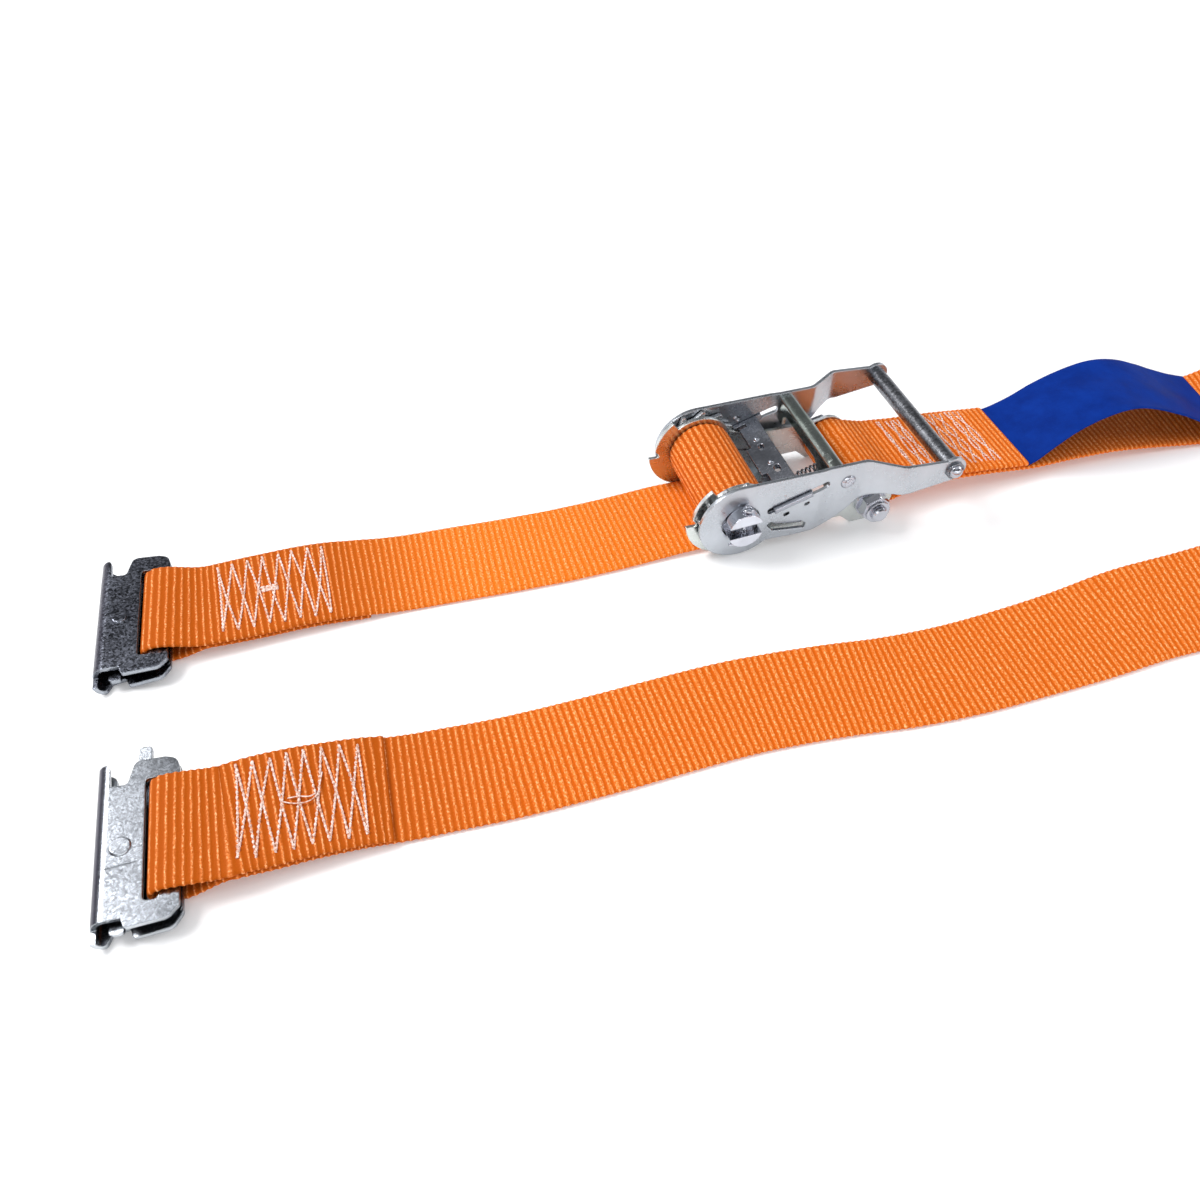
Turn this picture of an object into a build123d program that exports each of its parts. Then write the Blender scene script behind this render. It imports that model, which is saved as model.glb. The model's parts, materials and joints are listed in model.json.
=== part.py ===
from build123d import *
import math
import os

os.makedirs("parts", exist_ok=True)

# ---------------------------------------------------------------------------
# Ratchet tie down for 50 mm webbing, with two E-track end fittings.
# Local layout: +X runs from the mandrel towards the grip of the closed handle,
# +Y is across the webbing, +Z is up and z = 0 is the surface it lies on.
# The mandrel axis is at x = 0, y = 0 in the layout; every solid is then moved
# by (SHIFT_X, SHIFT_Y) so that the whole part's box is centred on the origin.
# ---------------------------------------------------------------------------
SHIFT_X = -54.548
SHIFT_Y = 54.181

# webbing
WEB_W = 49.0            # real width of nominal 50 mm webbing
WEB_T = 2.4             # thickness of one layer
HW = WEB_W / 2

# ratchet, across the webbing (half widths)
FRAME_IN, FRAME_OUT = 24.8, 26.6      # base frame plates
WHEEL_IN, WHEEL_OUT = 26.8, 28.6      # ratchet wheels
HAND_IN, HAND_OUT = 28.8, 30.6        # handle plates beside the mandrel
GRIP_IN, GRIP_OUT = 38.2, 40.0        # handle plates beside the grip
HEAD_STEP = 0.45                       # joggle of the handle plates' heads
MAN_END = 37.6                        # end faces of the mandrel halves

# ratchet, side view
MAN_Z = 21.0            # height of the mandrel axis
BORE_R = 9.46           # plates' bores for the mandrel
HALF_R = 8.2            # radius of one mandrel bar's round side
HALF_OFF = 1.2          # middle of that radius from the axis
HALF_GAP = 6.4          # slot between the two bars
MAN_TILT = 2.5          # rest angle of the slot
WHEEL_TIP, WHEEL_ROOT = 20.3, 16.9
TEETH = 12
ROLL_R = 17.2           # webbing wound on the mandrel
BOLT_X, BOLT_Z = 70.0, 12.0
BOLT_R, BOLT_BORE = 4.0, 4.06
SPACER_R = 7.0
BAR_X0, BAR_X1, BAR_Z0, BAR_Z1 = 44.4, 51.9, 26.0, 40.0   # handle cross bar
BAR_RIVET = (53.2, 31.4)
GRIP = (103.2, 33.4)
GRIP_R = 4.3

# pawls
DP_ANGLE = 17.5         # drive pawl plane, rising away from the mandrel
DP_REF = (24.5, 27.0)
DP_T = 3.2
DP_SPRING_Y = -18.0
LP_ANGLE = -11.5        # lock pawl plane, falling away from the mandrel
LP_REF = (23.5, 13.0)
LP_T = 3.0

# E-track fittings (local a = along the webbing, b = across, fold at a = 0)
FIT1 = (-289.4, 8.0, -4.0)      # fold middle x, y and heading in degrees
FIT2 = (-290.4, -110.5, -3.8)
ROLL = {1: 0.0, 2: 2.2}         # far side raised, about the near edge
ROLL_B = -36.6
SLOT_B = {1: 0.4, 2: 0.6}       # middle of the webbing along b
TOP_FALL = 0.06                 # the two plates run together towards the bar
BOT_RISE = 0.14
SHELL_H = 11.0
SHEET = 2.0
BAR_A0, BAR_A1 = 24.3, 31.6     # bar that the webbing goes round
LOOP_END = 46.6                 # where the sewn loop meets the strap run
PAIR_Z = {1: 3.6, 2: 6.0}       # under side of the two sewn layers there

nodes = {}


def put(name, shape):
    nodes[name] = shape


# ------------------------------------------------------------------ helpers
def rounded(points, radii):
    """Closed planar wire of straight runs with a tangent arc at each corner."""
    n = len(points)
    if not isinstance(radii, (list, tuple)):
        radii = [radii] * n
    edges, cuts = [], []
    for i in range(n):
        p0, p1, p2 = points[i - 1], points[i], points[(i + 1) % n]
        r = radii[i]
        v0 = (p0[0] - p1[0], p0[1] - p1[1])
        v1 = (p2[0] - p1[0], p2[1] - p1[1])
        l0, l1 = math.hypot(*v0), math.hypot(*v1)
        v0 = (v0[0] / l0, v0[1] / l0)
        v1 = (v1[0] / l1, v1[1] / l1)
        ang = math.acos(max(-1, min(1, v0[0] * v1[0] + v0[1] * v1[1])))
        if r <= 0 or ang > math.pi - 0.02:
            cuts.append((p1, p1, None))
            continue
        d = min(r / math.tan(ang / 2), 0.48 * l0, 0.48 * l1)
        rr = d * math.tan(ang / 2)
        a = (p1[0] + v0[0] * d, p1[1] + v0[1] * d)
        b = (p1[0] + v1[0] * d, p1[1] + v1[1] * d)
        bis = (v0[0] + v1[0], v0[1] + v1[1])
        lb = math.hypot(*bis)
        c = rr / math.sin(ang / 2)
        m = (p1[0] + bis[0] / lb * (c - rr), p1[1] + bis[1] / lb * (c - rr))
        cuts.append((a, b, m))
    for i in range(n):
        a, b, m = cuts[i]
        nxt = cuts[(i + 1) % n][0]
        if m is not None:
            edges.append(ThreePointArc(a, m, b))
        if math.hypot(nxt[0] - b[0], nxt[1] - b[1]) > 1e-6:
            edges.append(Line(b, nxt))
    return make_face(Wire(edges))


def across(face, y0, y1):
    """Face drawn as (x, z), made a slab from y0 to y1."""
    pl = Plane(origin=(0, y1, 0), x_dir=(1, 0, 0), z_dir=(0, -1, 0))
    return extrude(pl * face, amount=y1 - y0)


def up(face, z0, z1):
    """Face drawn as (x, y), made a slab from z0 to z1."""
    return extrude(Plane(origin=(0, 0, z0)) * face, amount=z1 - z0)


def disc(r, x=0.0, y=0.0):
    return Pos(x, y) * Circle(r)


def polar(r, deg, cx=0.0, cy=MAN_Z):
    return (cx + r * math.cos(math.radians(deg)), cy + r * math.sin(math.radians(deg)))


def cyl_y(r, x, z, y0, y1):
    return across(disc(r, x, z), y0, y1)


def slot_face(p, q, h):
    """Round-ended slot from p to q, h high."""
    ang = math.degrees(math.atan2(q[1] - p[1], q[0] - p[0]))
    ln = math.hypot(q[0] - p[0], q[1] - p[1])
    mid = ((p[0] + q[0]) / 2, (p[1] + q[1]) / 2)
    return Pos(*mid) * Rot(0, 0, ang) * RectangleRounded(ln, h, h * 0.42)


def along(ref, ang, s, t):
    """Point at s along and t above a line through ref at ang degrees."""
    c, d = math.cos(math.radians(ang)), math.sin(math.radians(ang))
    return (ref[0] + s * c - t * d, ref[1] + s * d + t * c)


def strip(ref, ang, s0, s1, t0, t1):
    """Rectangle in a pawl's own plane, as a face in (x, z)."""
    pts = [along(ref, ang, s0, t0), along(ref, ang, s1, t0), along(ref, ang, s1, t1), along(ref, ang, s0, t1)]
    return make_face(Polyline(*pts, close=True))


def smooth(points, n):
    """Points on a Catmull-Rom curve through rows of numbers, n per span."""
    out = []
    m = len(points)
    for i in range(m - 1):
        p1, p2 = points[i], points[i + 1]
        p0 = points[i - 1] if i else [2 * a - b for a, b in zip(p1, p2)]
        p3 = points[i + 2] if i + 2 < m else [2 * b - a for a, b in zip(p1, p2)]
        for k in range(n):
            t = k / n
            out.append([
                0.5 * (2 * b + (c - a) * t + (2 * a - 5 * b + 4 * c - d) * t * t + (3 * b - a - 3 * c + d) * t ** 3)
                for a, b, c, d in zip(p0, p1, p2, p3)
            ])
    out.append(list(points[-1]))
    return out


def rings_of(rows, width=WEB_W, head0=None, head1=None):
    """Cross-sections along rows of (x, y, z of the lowest edge, thickness, twist).

    Twist turns the left edge up about the run; the lower edge stays at z."""
    rings = []
    for i, (x, y, z, t, tw) in enumerate(rows):
        a = rows[max(i - 1, 0)]
        b = rows[min(i + 1, len(rows) - 1)]
        h = math.atan2(b[1] - a[1], b[0] - a[0])
        if i == 0 and head0 is not None:
            h = head0
        if i == len(rows) - 1 and head1 is not None:
            h = head1
        lx, ly = -math.sin(h), math.cos(h)
        c, s = math.cos(math.radians(tw)), math.sin(math.radians(tw))
        av = (lx * c, ly * c, s)                    # towards the left edge
        nv = (-lx * s, -ly * s, c)                  # out of the upper face
        cz = max(z, 0.0) + abs(s) * width / 2 + abs(c) * t / 2
        ring = []
        for ea, en in ((-1, -1), (1, -1), (1, 1), (-1, 1)):
            ring.append(Vector(
                x + av[0] * ea * width / 2 + nv[0] * en * t / 2,
                y + av[1] * ea * width / 2 + nv[1] * en * t / 2,
                cz + av[2] * ea * width / 2 + nv[2] * en * t / 2))
        rings.append(ring)
    return rings


def ribbon(rings):
    """Closed solid through cross-sections of four corners each."""
    faces = []

    def tri(p, q, r):
        faces.append(Face(Wire.make_polygon([p, q, r], close=True)))

    for r0, r1 in zip(rings, rings[1:]):
        for k in range(4):
            p, q = r0[k], r0[(k + 1) % 4]
            s2, r2 = r1[(k + 1) % 4], r1[k]
            tri(p, q, s2)
            tri(p, s2, r2)
    for r in (rings[0], rings[-1]):
        tri(r[0], r[1], r[2])
        tri(r[0], r[2], r[3])
    solid = Solid(Shell(faces))
    if solid.volume < 0:
        solid = Solid(Shell([Face(f.wrapped.Reversed()) for f in faces]))
    return solid


def split_pin(y, ang):
    """Split pin through the mandrel: flat eye, shank and two legs bent outwards."""
    shank = Pos(0, y, MAN_Z) * Cylinder(1.15, 21.6)
    eye = Pos(1.9, y, MAN_Z + 10.25) * Rot(0, 6, 0) * Torus(1.8, 0.75)
    legs = None
    for sgn in (-1, 1):
        leg = Pos(sgn * 3.5, y, MAN_Z - 10.5) * Rot(0, sgn * 72, 0) * Cylinder(0.72, 7.0)
        legs = leg if legs is None else legs + leg
    pin = shank + eye + legs
    return Pos(0, 0, MAN_Z) * Rot(0, ang, 0) * Pos(0, 0, -MAN_Z) * pin


# ------------------------------------------------------------- base frame
def frame_outline():
    a = [
        Line(polar(22.6, 171.5), (-20.6, 22.0)),
        Line((-20.6, 22.0), (-20.3, 20.1)),
        Line((-20.3, 20.1), (-25.45, 20.3)),
        ThreePointArc((-25.45, 20.3), (-19.13, 6.47), (-3.5, 0.0)),
        Line((-3.5, 0.0), (14.0, 0.0)),
        Line((14.0, 0.0), (20.5, 5.5)),
        Line((20.5, 5.5), (55.5, 5.5)),
        Line((55.5, 5.5), (61.5, 0.0)),
        Line((61.5, 0.0), (70.0, 0.0)),
        ThreePointArc((70.0, 0.0), (82.0, 12.0), (70.0, 24.0)),
        Line((70.0, 24.0), (61.0, 21.9)),
        Line((61.0, 21.9), (27.0, 23.2)),
        Line((27.0, 23.2), polar(18.0, 24.0)),
        ThreePointArc(polar(18.0, 24.0), polar(18.0, 75.0), polar(18.0, 127.0)),
        Line(polar(18.0, 127.0), polar(22.6, 127.0)),
        ThreePointArc(polar(22.6, 127.0), polar(22.6, 149.0), polar(22.6, 171.5)),
    ]
    return make_face(Wire(a))


lp_slot = (along(LP_REF, LP_ANGLE, -8.8, 0), along(LP_REF, LP_ANGLE, 15.9, 0))


def frame_plate(sign):
    y0, y1 = sorted((sign * FRAME_IN, sign * FRAME_OUT))
    plate = across(frame_outline(), y0, y1)
    plate -= cyl_y(BORE_R, 0, MAN_Z, y0 - 1, y1 + 1)
    plate -= cyl_y(BOLT_BORE, BOLT_X, BOLT_Z, y0 - 1, y1 + 1)
    plate -= across(slot_face(*lp_slot, LP_T + 0.5), y0 - 1, y1 + 1)
    # slot for the spring seat's tongue
    plate -= across(Pos(43.1, 8.8) * Rectangle(1.84, 3.64), y0 - 1, y1 + 1)
    return plate


put("frame_plate_near", frame_plate(-1))
put("frame_plate_far", frame_plate(1))

# cross bolt, nut, washers and the spacer that the fixed strap's loop turns on
hexa = RegularPolygon(7.5, 6, major_radius=False)
bolt = cyl_y(BOLT_R, BOLT_X, BOLT_Z, -38.0, 28.3)
head = across(Pos(BOLT_X, BOLT_Z) * Rot(0, 0, 12) * RegularPolygon(6.5, 6, major_radius=False), 28.3, 33.4)
head = head & (Pos(BOLT_X, 25.9, BOLT_Z) * Sphere(10.4))
end = Pos(BOLT_X, -38.0, BOLT_Z) * Rot(90, 0, 0) * Cone(4.0, 3.2, 0.8, align=(Align.CENTER, Align.CENTER, Align.MIN))
put("frame_bolt", bolt + head + end)
nut = across(Pos(BOLT_X, BOLT_Z) * Rot(0, 0, 20) * RegularPolygon(6.5, 6, major_radius=False), -34.4, -28.4)
nut = nut & (Pos(BOLT_X, -29.9, BOLT_Z) * Sphere(8.05))
nut += cyl_y(5.9, BOLT_X, BOLT_Z, -36.2, -34.0)
nut -= cyl_y(BOLT_R, BOLT_X, BOLT_Z, -40, -20)
put("frame_nut", nut)
put("frame_washer_near", cyl_y(8.0, BOLT_X, BOLT_Z, -28.4, -FRAME_OUT) - cyl_y(4.2, BOLT_X, BOLT_Z, -30, -20))
put("frame_washer_far", cyl_y(8.0, BOLT_X, BOLT_Z, FRAME_OUT, 28.3) - cyl_y(4.2, BOLT_X, BOLT_Z, 20, 30))
put("strap_spacer", cyl_y(SPACER_R, BOLT_X, BOLT_Z, -24.75, 24.75) - cyl_y(4.15, BOLT_X, BOLT_Z, -30, 30))

# seat that the lock pawl's spring pushes against
seat = Pos(43.1, 0, 8.25) * Box(1.8, 2 * FRAME_IN, 5.1)
for s in (-1, 1):
    seat += Pos(43.1, s * (FRAME_IN + 0.95), 8.8) * Box(1.8, 1.9, 3.6)
put("lock_spring_seat", seat)

# ------------------------------------------------------------- lock pawl
LP_TIP = -6.4       # front edge along its own plane, down between two teeth
lock = across(strip(LP_REF, LP_ANGLE, LP_TIP, 10.4, -LP_T / 2, LP_T / 2), -28.5, 28.5)
bevel = across(make_face(Polyline(
    along(LP_REF, LP_ANGLE, LP_TIP - 1, -LP_T / 2 - 1), along(LP_REF, LP_ANGLE, LP_TIP + 3.2, -LP_T / 2 - 1),
    along(LP_REF, LP_ANGLE, LP_TIP - 0.01, LP_T / 2 - 1.0), along(LP_REF, LP_ANGLE, LP_TIP - 1, LP_T / 2 - 1.0),
    close=True)), -30, 30)
lock -= bevel
put("lock_pawl", lock)
p0 = along(LP_REF, LP_ANGLE, 10.45, -0.1)
spring_len = (43.1 - 0.9 - p0[0]) / math.cos(math.radians(LP_ANGLE)) - 0.75
lsp = Cylinder(2.9, spring_len, align=(Align.CENTER, Align.CENTER, Align.MIN)) - Cylinder(
    1.9, spring_len, align=(Align.CENTER, Align.CENTER, Align.MIN))
put("lock_pawl_spring", Pos(p0[0] + 0.05, 0, p0[1]) * Rot(0, 90 - LP_ANGLE, 0) * lsp)

# ------------------------------------------------------------- mandrel
def half(sign, r, grow, y0, y1):
    """Half-round bar; grow widens it all round for a clearance cut."""
    body = Pos(0, sign * HALF_OFF) * Circle(r + grow)
    keep = Pos(0, sign * (HALF_GAP / 2 - grow + 20)) * Rectangle(60, 40)
    f = body & keep
    s = across(f, y0, y1)
    return Pos(0, 0, MAN_Z) * Rot(0, -MAN_TILT, 0) * s


half_up = half(1, HALF_R, 0, -MAN_END, MAN_END)
half_lo = half(-1, HALF_R, 0, -MAN_END, MAN_END)
PIN_Y = 34.1
for s in (-1, 1):
    drill = Pos(0, s * PIN_Y, MAN_Z) * Rot(0, -MAN_TILT, 0) * Cylinder(1.2, 40)
    half_up -= drill
    half_lo -= drill
put("mandrel_half_upper", half_up)
put("mandrel_half_lower", half_lo)
for s, name in ((-1, "near"), (1, "far")):
    put("mandrel_split_pin_" + name, split_pin(s * PIN_Y, -MAN_TILT))


def wheel(sign):
    pts = []
    step = 360.0 / TEETH
    # a gap between teeth faces each pawl at rest; the steep faces look down,
    # so that the pawls stop the webbing running back
    first = 13.2
    for k in range(TEETH):
        a = first + k * step
        pts.append(polar(WHEEL_ROOT, a - 6.5, 0, 0))
        pts.append(polar(WHEEL_ROOT, a + 5.5, 0, 0))
        pts.append(polar(WHEEL_TIP, a + 6.5, 0, 0))
        pts.append(polar(WHEEL_TIP, a + 11.0, 0, 0))
    f = rounded(pts, 0.5)
    y0, y1 = sorted((sign * WHEEL_IN, sign * WHEEL_OUT))
    w = Pos(0, 0, MAN_Z) * across(f, y0, y1)
    w -= half(1, HALF_R, 0, y0 - 1, y1 + 1)
    w -= half(-1, HALF_R, 0, y0 - 1, y1 + 1)
    return w


put("ratchet_wheel_near", wheel(-1))
put("ratchet_wheel_far", wheel(1))

roll = cyl_y(ROLL_R, 0, MAN_Z, -HW, HW) - half(1, HALF_R, 0.1, -30, 30) - half(-1, HALF_R, 0.1, -30, 30)
put("webbing_roll", roll)


# ------------------------------------------------------------- handle
def handle_side():
    edges = [
        Line((0.0, 41.5), (62.0, 41.3)),
        Line((62.0, 41.3), (79.0, 40.6)),
        Line((79.0, 40.6), (99.0, 38.9)),
        ThreePointArc((99.0, 38.9), (108.9, 34.9), (104.0, 27.5)),
        Line((104.0, 27.5), (81.0, 24.3)),
        ThreePointArc((81.0, 24.3), (66.5, 22.6), (58.5, 17.9)),
        ThreePointArc((58.5, 17.9), (48.5, 9.7), (37.5, 5.3)),
        Line((37.5, 5.3), (31.0, 4.9)),
        Line((31.0, 4.9), (13.6, 5.66)),
        ThreePointArc((13.6, 5.66), polar(20.5, 180.0), (0.0, 41.5)),
    ]
    return make_face(Wire(edges))


dp_slot = (along(DP_REF, DP_ANGLE, -12.0, 0), along(DP_REF, DP_ANGLE, 19.9, 0))
lp_window = [(13.2, 15.1), (17.2, 10.5), (33.8, 7.9), (34.4, 10.8), (31.4, 13.5), (15.2, 16.6)]


def handle_plate(sign):
    # the head stands a little further out than the arm, with a faint step between
    prof = rounded([
        (-24.0, HAND_IN + HEAD_STEP), (39.3, HAND_IN + HEAD_STEP), (43.9, HAND_IN), (62.5, HAND_IN), (77.5, GRIP_IN), (116.0, GRIP_IN),
        (116.0, GRIP_OUT), (77.0, GRIP_OUT), (62.0, HAND_OUT), (43.8, HAND_OUT), (39.2, HAND_OUT + HEAD_STEP), (-24.0, HAND_OUT + HEAD_STEP)],
        [0, 2.0, 2.0, 6.0, 7.8, 0, 0, 6.0, 7.8, 2.0, 2.0, 0])
    sheet = up(prof, -2, 46)
    plate = sheet & across(handle_side(), 27.0, 42.0)
    plate -= cyl_y(BORE_R, 0, MAN_Z, 20, 45)
    plate -= across(slot_face(*dp_slot, DP_T + 0.7), 20, 45)
    plate -= across(rounded(lp_window, [0.7, 1.0, 0.7, 0.9, 1.0, 0.8]), 20, 45)
    # small lanced bridge with a hole at each end, under the pawl's slot
    plate -= across(slot_face((21.7, 19.2), (24.6, 20.3), 2.2), 20, 45)
    plate -= across(slot_face((31.8, 23.0), (34.4, 24.0), 2.0), 20, 45)
    plate -= cyl_y(2.9, *BAR_RIVET, 20, 45)
    plate -= cyl_y(2.6, *GRIP, 20, 45)
    # two small pressed beads on the inner face above the pawl
    for bx, bz in ((20.9, 31.6), (22.6, 29.7)):
        plate += Pos(bx, HAND_IN + HEAD_STEP + 0.7, bz) * Sphere(1.3)
    if sign < 0:
        plate = mirror(plate, Plane.XZ)
    return plate


put("handle_plate_near", handle_plate(-1))
put("handle_plate_far", handle_plate(1))

# folded cross bar: front flange, rounded top and a shorter rear flange
outer = rounded([(BAR_X0, BAR_Z0), (BAR_X1, BAR_Z0), (BAR_X1, BAR_Z1), (BAR_X0, BAR_Z1)], [0, 0, 2.6, 2.6])
inner = rounded([(BAR_X0 + 1.8, BAR_Z0 - 6), (BAR_X1 - 1.8, BAR_Z0 - 6), (BAR_X1 - 1.8, BAR_Z1 - 1.8), (BAR_X0 + 1.8, BAR_Z1 - 1.8)], [0, 0, 0.9, 0.9])
bar = across(outer, -HAND_IN, HAND_IN) - across(inner, -30, 30)
bar -= Pos(BAR_X1, 0, 25.2) * Box(4.4, 80, 20.6)
# the front flange is open between its two ends
cut = Plane(origin=(BAR_X0 - 1, 0, 0), x_dir=(0, 1, 0), z_dir=(1, 0, 0)) * rounded(
    [(-14.6, 20.0), (-14.6, 33.0), (24.0, 33.0), (24.0, 20.0)], [0, 4.5, 4.5, 0])
bar -= extrude(cut, amount=3.4)
# small lug on the rounded front edge near one end
bar += Pos(46.3, -20.8, 38.75) * Rot(0, -24, 0) * Box(2.4, 4.8, 3.0)
put("handle_cross_bar", bar)

# rivet through the plates and the bar's inside, with domed heads
rivet = cyl_y(2.85, *BAR_RIVET, -HAND_OUT - 0.1, HAND_OUT + 0.1)
for s in (-1, 1):
    def ring_y(r, h0, h1):
        a, b = sorted((s * (HAND_OUT + h0), s * (HAND_OUT + h1)))
        return cyl_y(r, *BAR_RIVET, a, b)
    dome = (Pos(BAR_RIVET[0], s * (HAND_OUT - 3.4), BAR_RIVET[1]) * Sphere(5.1)) & ring_y(3.8, 0.02, 1.25)
    dome -= ring_y(2.75, 0.75, 2.5) - ring_y(2.05, 0.0, 3.0)
    dome += ring_y(1.0, 1.0, 1.55)
    rivet += dome
put("cross_bar_rivet", rivet)

# grip: a tube between the plates, held by a long rivet with collars
put("handle_grip", cyl_y(GRIP_R, *GRIP, -GRIP_IN, GRIP_IN) - cyl_y(2.62, *GRIP, -50, 50))
gr = cyl_y(2.55, *GRIP, -GRIP_OUT - 2.4, GRIP_OUT + 0.7)
gr += (Pos(GRIP[0], -GRIP_OUT - 0.6, GRIP[1]) * Sphere(3.5)) & (Pos(GRIP[0], -GRIP_OUT - 6.25, GRIP[1]) * Box(20, 10, 20))
gr += (Pos(GRIP[0], GRIP_OUT - 1.6, GRIP[1]) * Sphere(3.7)) & (Pos(GRIP[0], GRIP_OUT + 5.55, GRIP[1]) * Box(20, 10, 20))
put("grip_rivet", gr)
for s, name, cr, ct in ((-1, "near", 4.4, 1.2), (1, "far", 3.9, 0.5)):
    y0, y1 = sorted((s * GRIP_OUT, s * (GRIP_OUT + ct)))
    put("grip_collar_" + name, cyl_y(cr, *GRIP, y0, y1) - cyl_y(2.6, *GRIP, y0 - 1, y1 + 1))

# ------------------------------------------------------------- drive pawl
DT = DP_T / 2
tip = (20.12 - DP_REF[0]) / math.cos(math.radians(DP_ANGLE))
rear = 7.9
pawl = across(strip(DP_REF, DP_ANGLE, tip, rear, -DT, DT), -28.5, 28.5)
# ears through the handle plates' slots
for s in (-1, 1):
    y0, y1 = sorted((s * 28.4, s * 32.9))
    ear = across(strip(DP_REF, DP_ANGLE, -8.9, 10.7, -DT, DT), y0, y1)
    ear = fillet(ear.edges().group_by(Axis.Y)[0 if s < 0 else -1], 1.1)
    pawl += ear - across(
        strip(DP_REF, DP_ANGLE, -11, tip, -4, 4), *sorted((s * 28.0, s * 28.75)))
# wide notches and the slots that clear the frame plates' cam edges
for s in (-1, 1):
    y0, y1 = sorted((s * 9.5, s * 24.5))
    pawl -= across(strip(DP_REF, DP_ANGLE, tip - 3, -2.6, -4, 4), y0, y1)
    y0, y1 = sorted((s * 24.4, s * 26.75))
    pawl -= across(strip(DP_REF, DP_ANGLE, tip - 3, 1.6, -4, 4), y0, y1)
# the tongue reaches a little nearer to the roll
pawl += across(strip(DP_REF, DP_ANGLE, tip - 0.6, tip + 1, -DT, DT), -9.5, 9.5)
# bevelled under side of the front edge
pawl -= across(make_face(Polyline(
    along(DP_REF, DP_ANGLE, tip - 2.2, -DT - 2), along(DP_REF, DP_ANGLE, tip + 2.6, -DT - 0.01),
    along(DP_REF, DP_ANGLE, tip - 2.2, DT - 1.0), close=True)), -28.7, 28.7)
# two oblong holes in a row, each with a small raised bead beside it
for hs, hy, la, lb in ((1.8, 7.7, 2.5, 4.2), (2.9, -9.3, 3.1, 5.0)):
    q = along(DP_REF, DP_ANGLE, hs, 0)
    pawl -= Pos(q[0], hy, q[1]) * Rot(0, -DP_ANGLE, 0) * up(RectangleRounded(la, lb, la * 0.46), -5, 5)
for bs, by in ((1.9, 13.6), (1.8, -4.3)):
    q = along(DP_REF, DP_ANGLE, bs, DT - 0.5)
    pawl += Pos(q[0], by, q[1]) * Sphere(1.5)
put("drive_pawl", pawl)
q0 = along(DP_REF, DP_ANGLE, rear + 0.1, -0.6)
sl = (BAR_X0 - q0[0]) / math.cos(math.radians(DP_ANGLE)) - 1.15
spr = Cylinder(2.7, sl, align=(Align.CENTER, Align.CENTER, Align.MIN)) - Cylinder(
    1.8, sl, align=(Align.CENTER, Align.CENTER, Align.MIN))
put("drive_pawl_spring", Pos(q0[0], DP_SPRING_Y, q0[1]) * Rot(0, 90 - DP_ANGLE, 0) * spr)


# ------------------------------------------------------------- E-track fittings
def fit_place(k, shape):
    x, y, h = FIT1 if k == 1 else FIT2
    if ROLL[k]:
        shape = Pos(0, ROLL_B, 0) * Rot(ROLL[k], 0, 0) * Pos(0, -ROLL_B, 0) * shape
    return Pos(x, y, 0) * Rot(0, 0, h) * shape


def fit_point(k, a, b, z):
    """A fitting's own (a, b, z) in the layout."""
    x, y, h = FIT1 if k == 1 else FIT2
    cr, sr = math.cos(math.radians(ROLL[k])), math.sin(math.radians(ROLL[k]))
    b, z = ROLL_B + (b - ROLL_B) * cr - z * sr, (b - ROLL_B) * sr + z * cr
    c, s = math.cos(math.radians(h)), math.sin(math.radians(h))
    return (x + a * c - b * s, y + a * s + b * c, z)


def lean(shape):
    """Square to the top plate, which falls towards the bar."""
    return Pos(5.5, 0, SHELL_H) * Rot(0, math.degrees(math.atan(TOP_FALL)), 0) * Pos(-5.5, 0, -SHELL_H) * shape


def fitting_shell(k):
    h, t = SHELL_H, SHEET
    r = h / 2

    def zt(a):
        return h - (a - r) * TOP_FALL

    def zb(a):
        return (a - r) * BOT_RISE

    # folded section in (a, z), then cut to the plan of each plate
    u_out = make_face(Wire([
        Line((32.0, zb(32.0)), (r, 0.0)), ThreePointArc((r, 0.0), (0.0, r), (r, h)), Line((r, h), (32.0, zt(32.0))),
        Line((32.0, zt(32.0)), (32.0, zb(32.0)))]))
    u_in = make_face(Wire([
        Line((33.0, zb(33.0) + t), (r, t)), ThreePointArc((r, t), (t, r), (r, h - t)), Line((r, h - t), (33.0, zt(33.0) - t)),
        Line((33.0, zt(33.0) - t), (33.0, zb(33.0) + t))]))
    section = across(u_out, -45, 45) - across(u_in, -46, 46)
    far = [(31.4, 28.4), (30.2, 33.2), (26.0, 34.6), (14.9, 34.6), (12.2, 24.3), (5.9, 24.5), (5.3, 34.8), (-2, 34.8)]
    far_r = [4.0, 4.0, 3.0, 3.2, 1.8, 0.5, 2.4, 0]
    top = rounded([(-2, -31.0), (11.6, -30.8), (12.9, -34.8), (27.6, -33.6), (31.4, -29.4)] + far, [0, 0.8, 1.2, 4.0, 2.5] + far_r)
    low = rounded([(-2, -36.2), (4.4, -36.2), (6.6, -31.6), (12.9, -31.6), (14.0, -35.6), (28.2, -35.8), (31.9, -31.0)] + far,
                  [0, 2.0, 1.6, 1.2, 1.2, 4.5, 2.5] + far_r)
    shell = (section & up(top, r, h + 1)) + (section & up(low, -1, r))
    shell -= up(Pos(21.5, 0) * RectangleRounded(2 * (BAR_A0 - 21.5), 51.4, 1.6), -2, h + 2)
    shell -= lean(up(disc(2.05, 10.5, -2.2), -2, h + 2))
    if k == 2:
        # fine pressed line across the top plate
        shell -= lean(Pos(10.95, -9.9, h) * Rot(0, 0, 6.3) * Box(11.0, 0.5, 0.6))
    return shell


def fitting_rivet(k):
    r = up(disc(2.0, 10.5, -2.2), 0.75, SHELL_H + 0.2)
    if k == 1:
        head = Pos(10.5, -2.2, SHELL_H) * Cone(3.3, 2.7, 0.4, align=(Align.CENTER, Align.CENTER, Align.MIN))
    else:
        head = Pos(10.5, -2.2, SHELL_H) * Cone(4.1, 3.5, 0.7, align=(Align.CENTER, Align.CENTER, Align.MIN))
    return lean(r + head)


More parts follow.
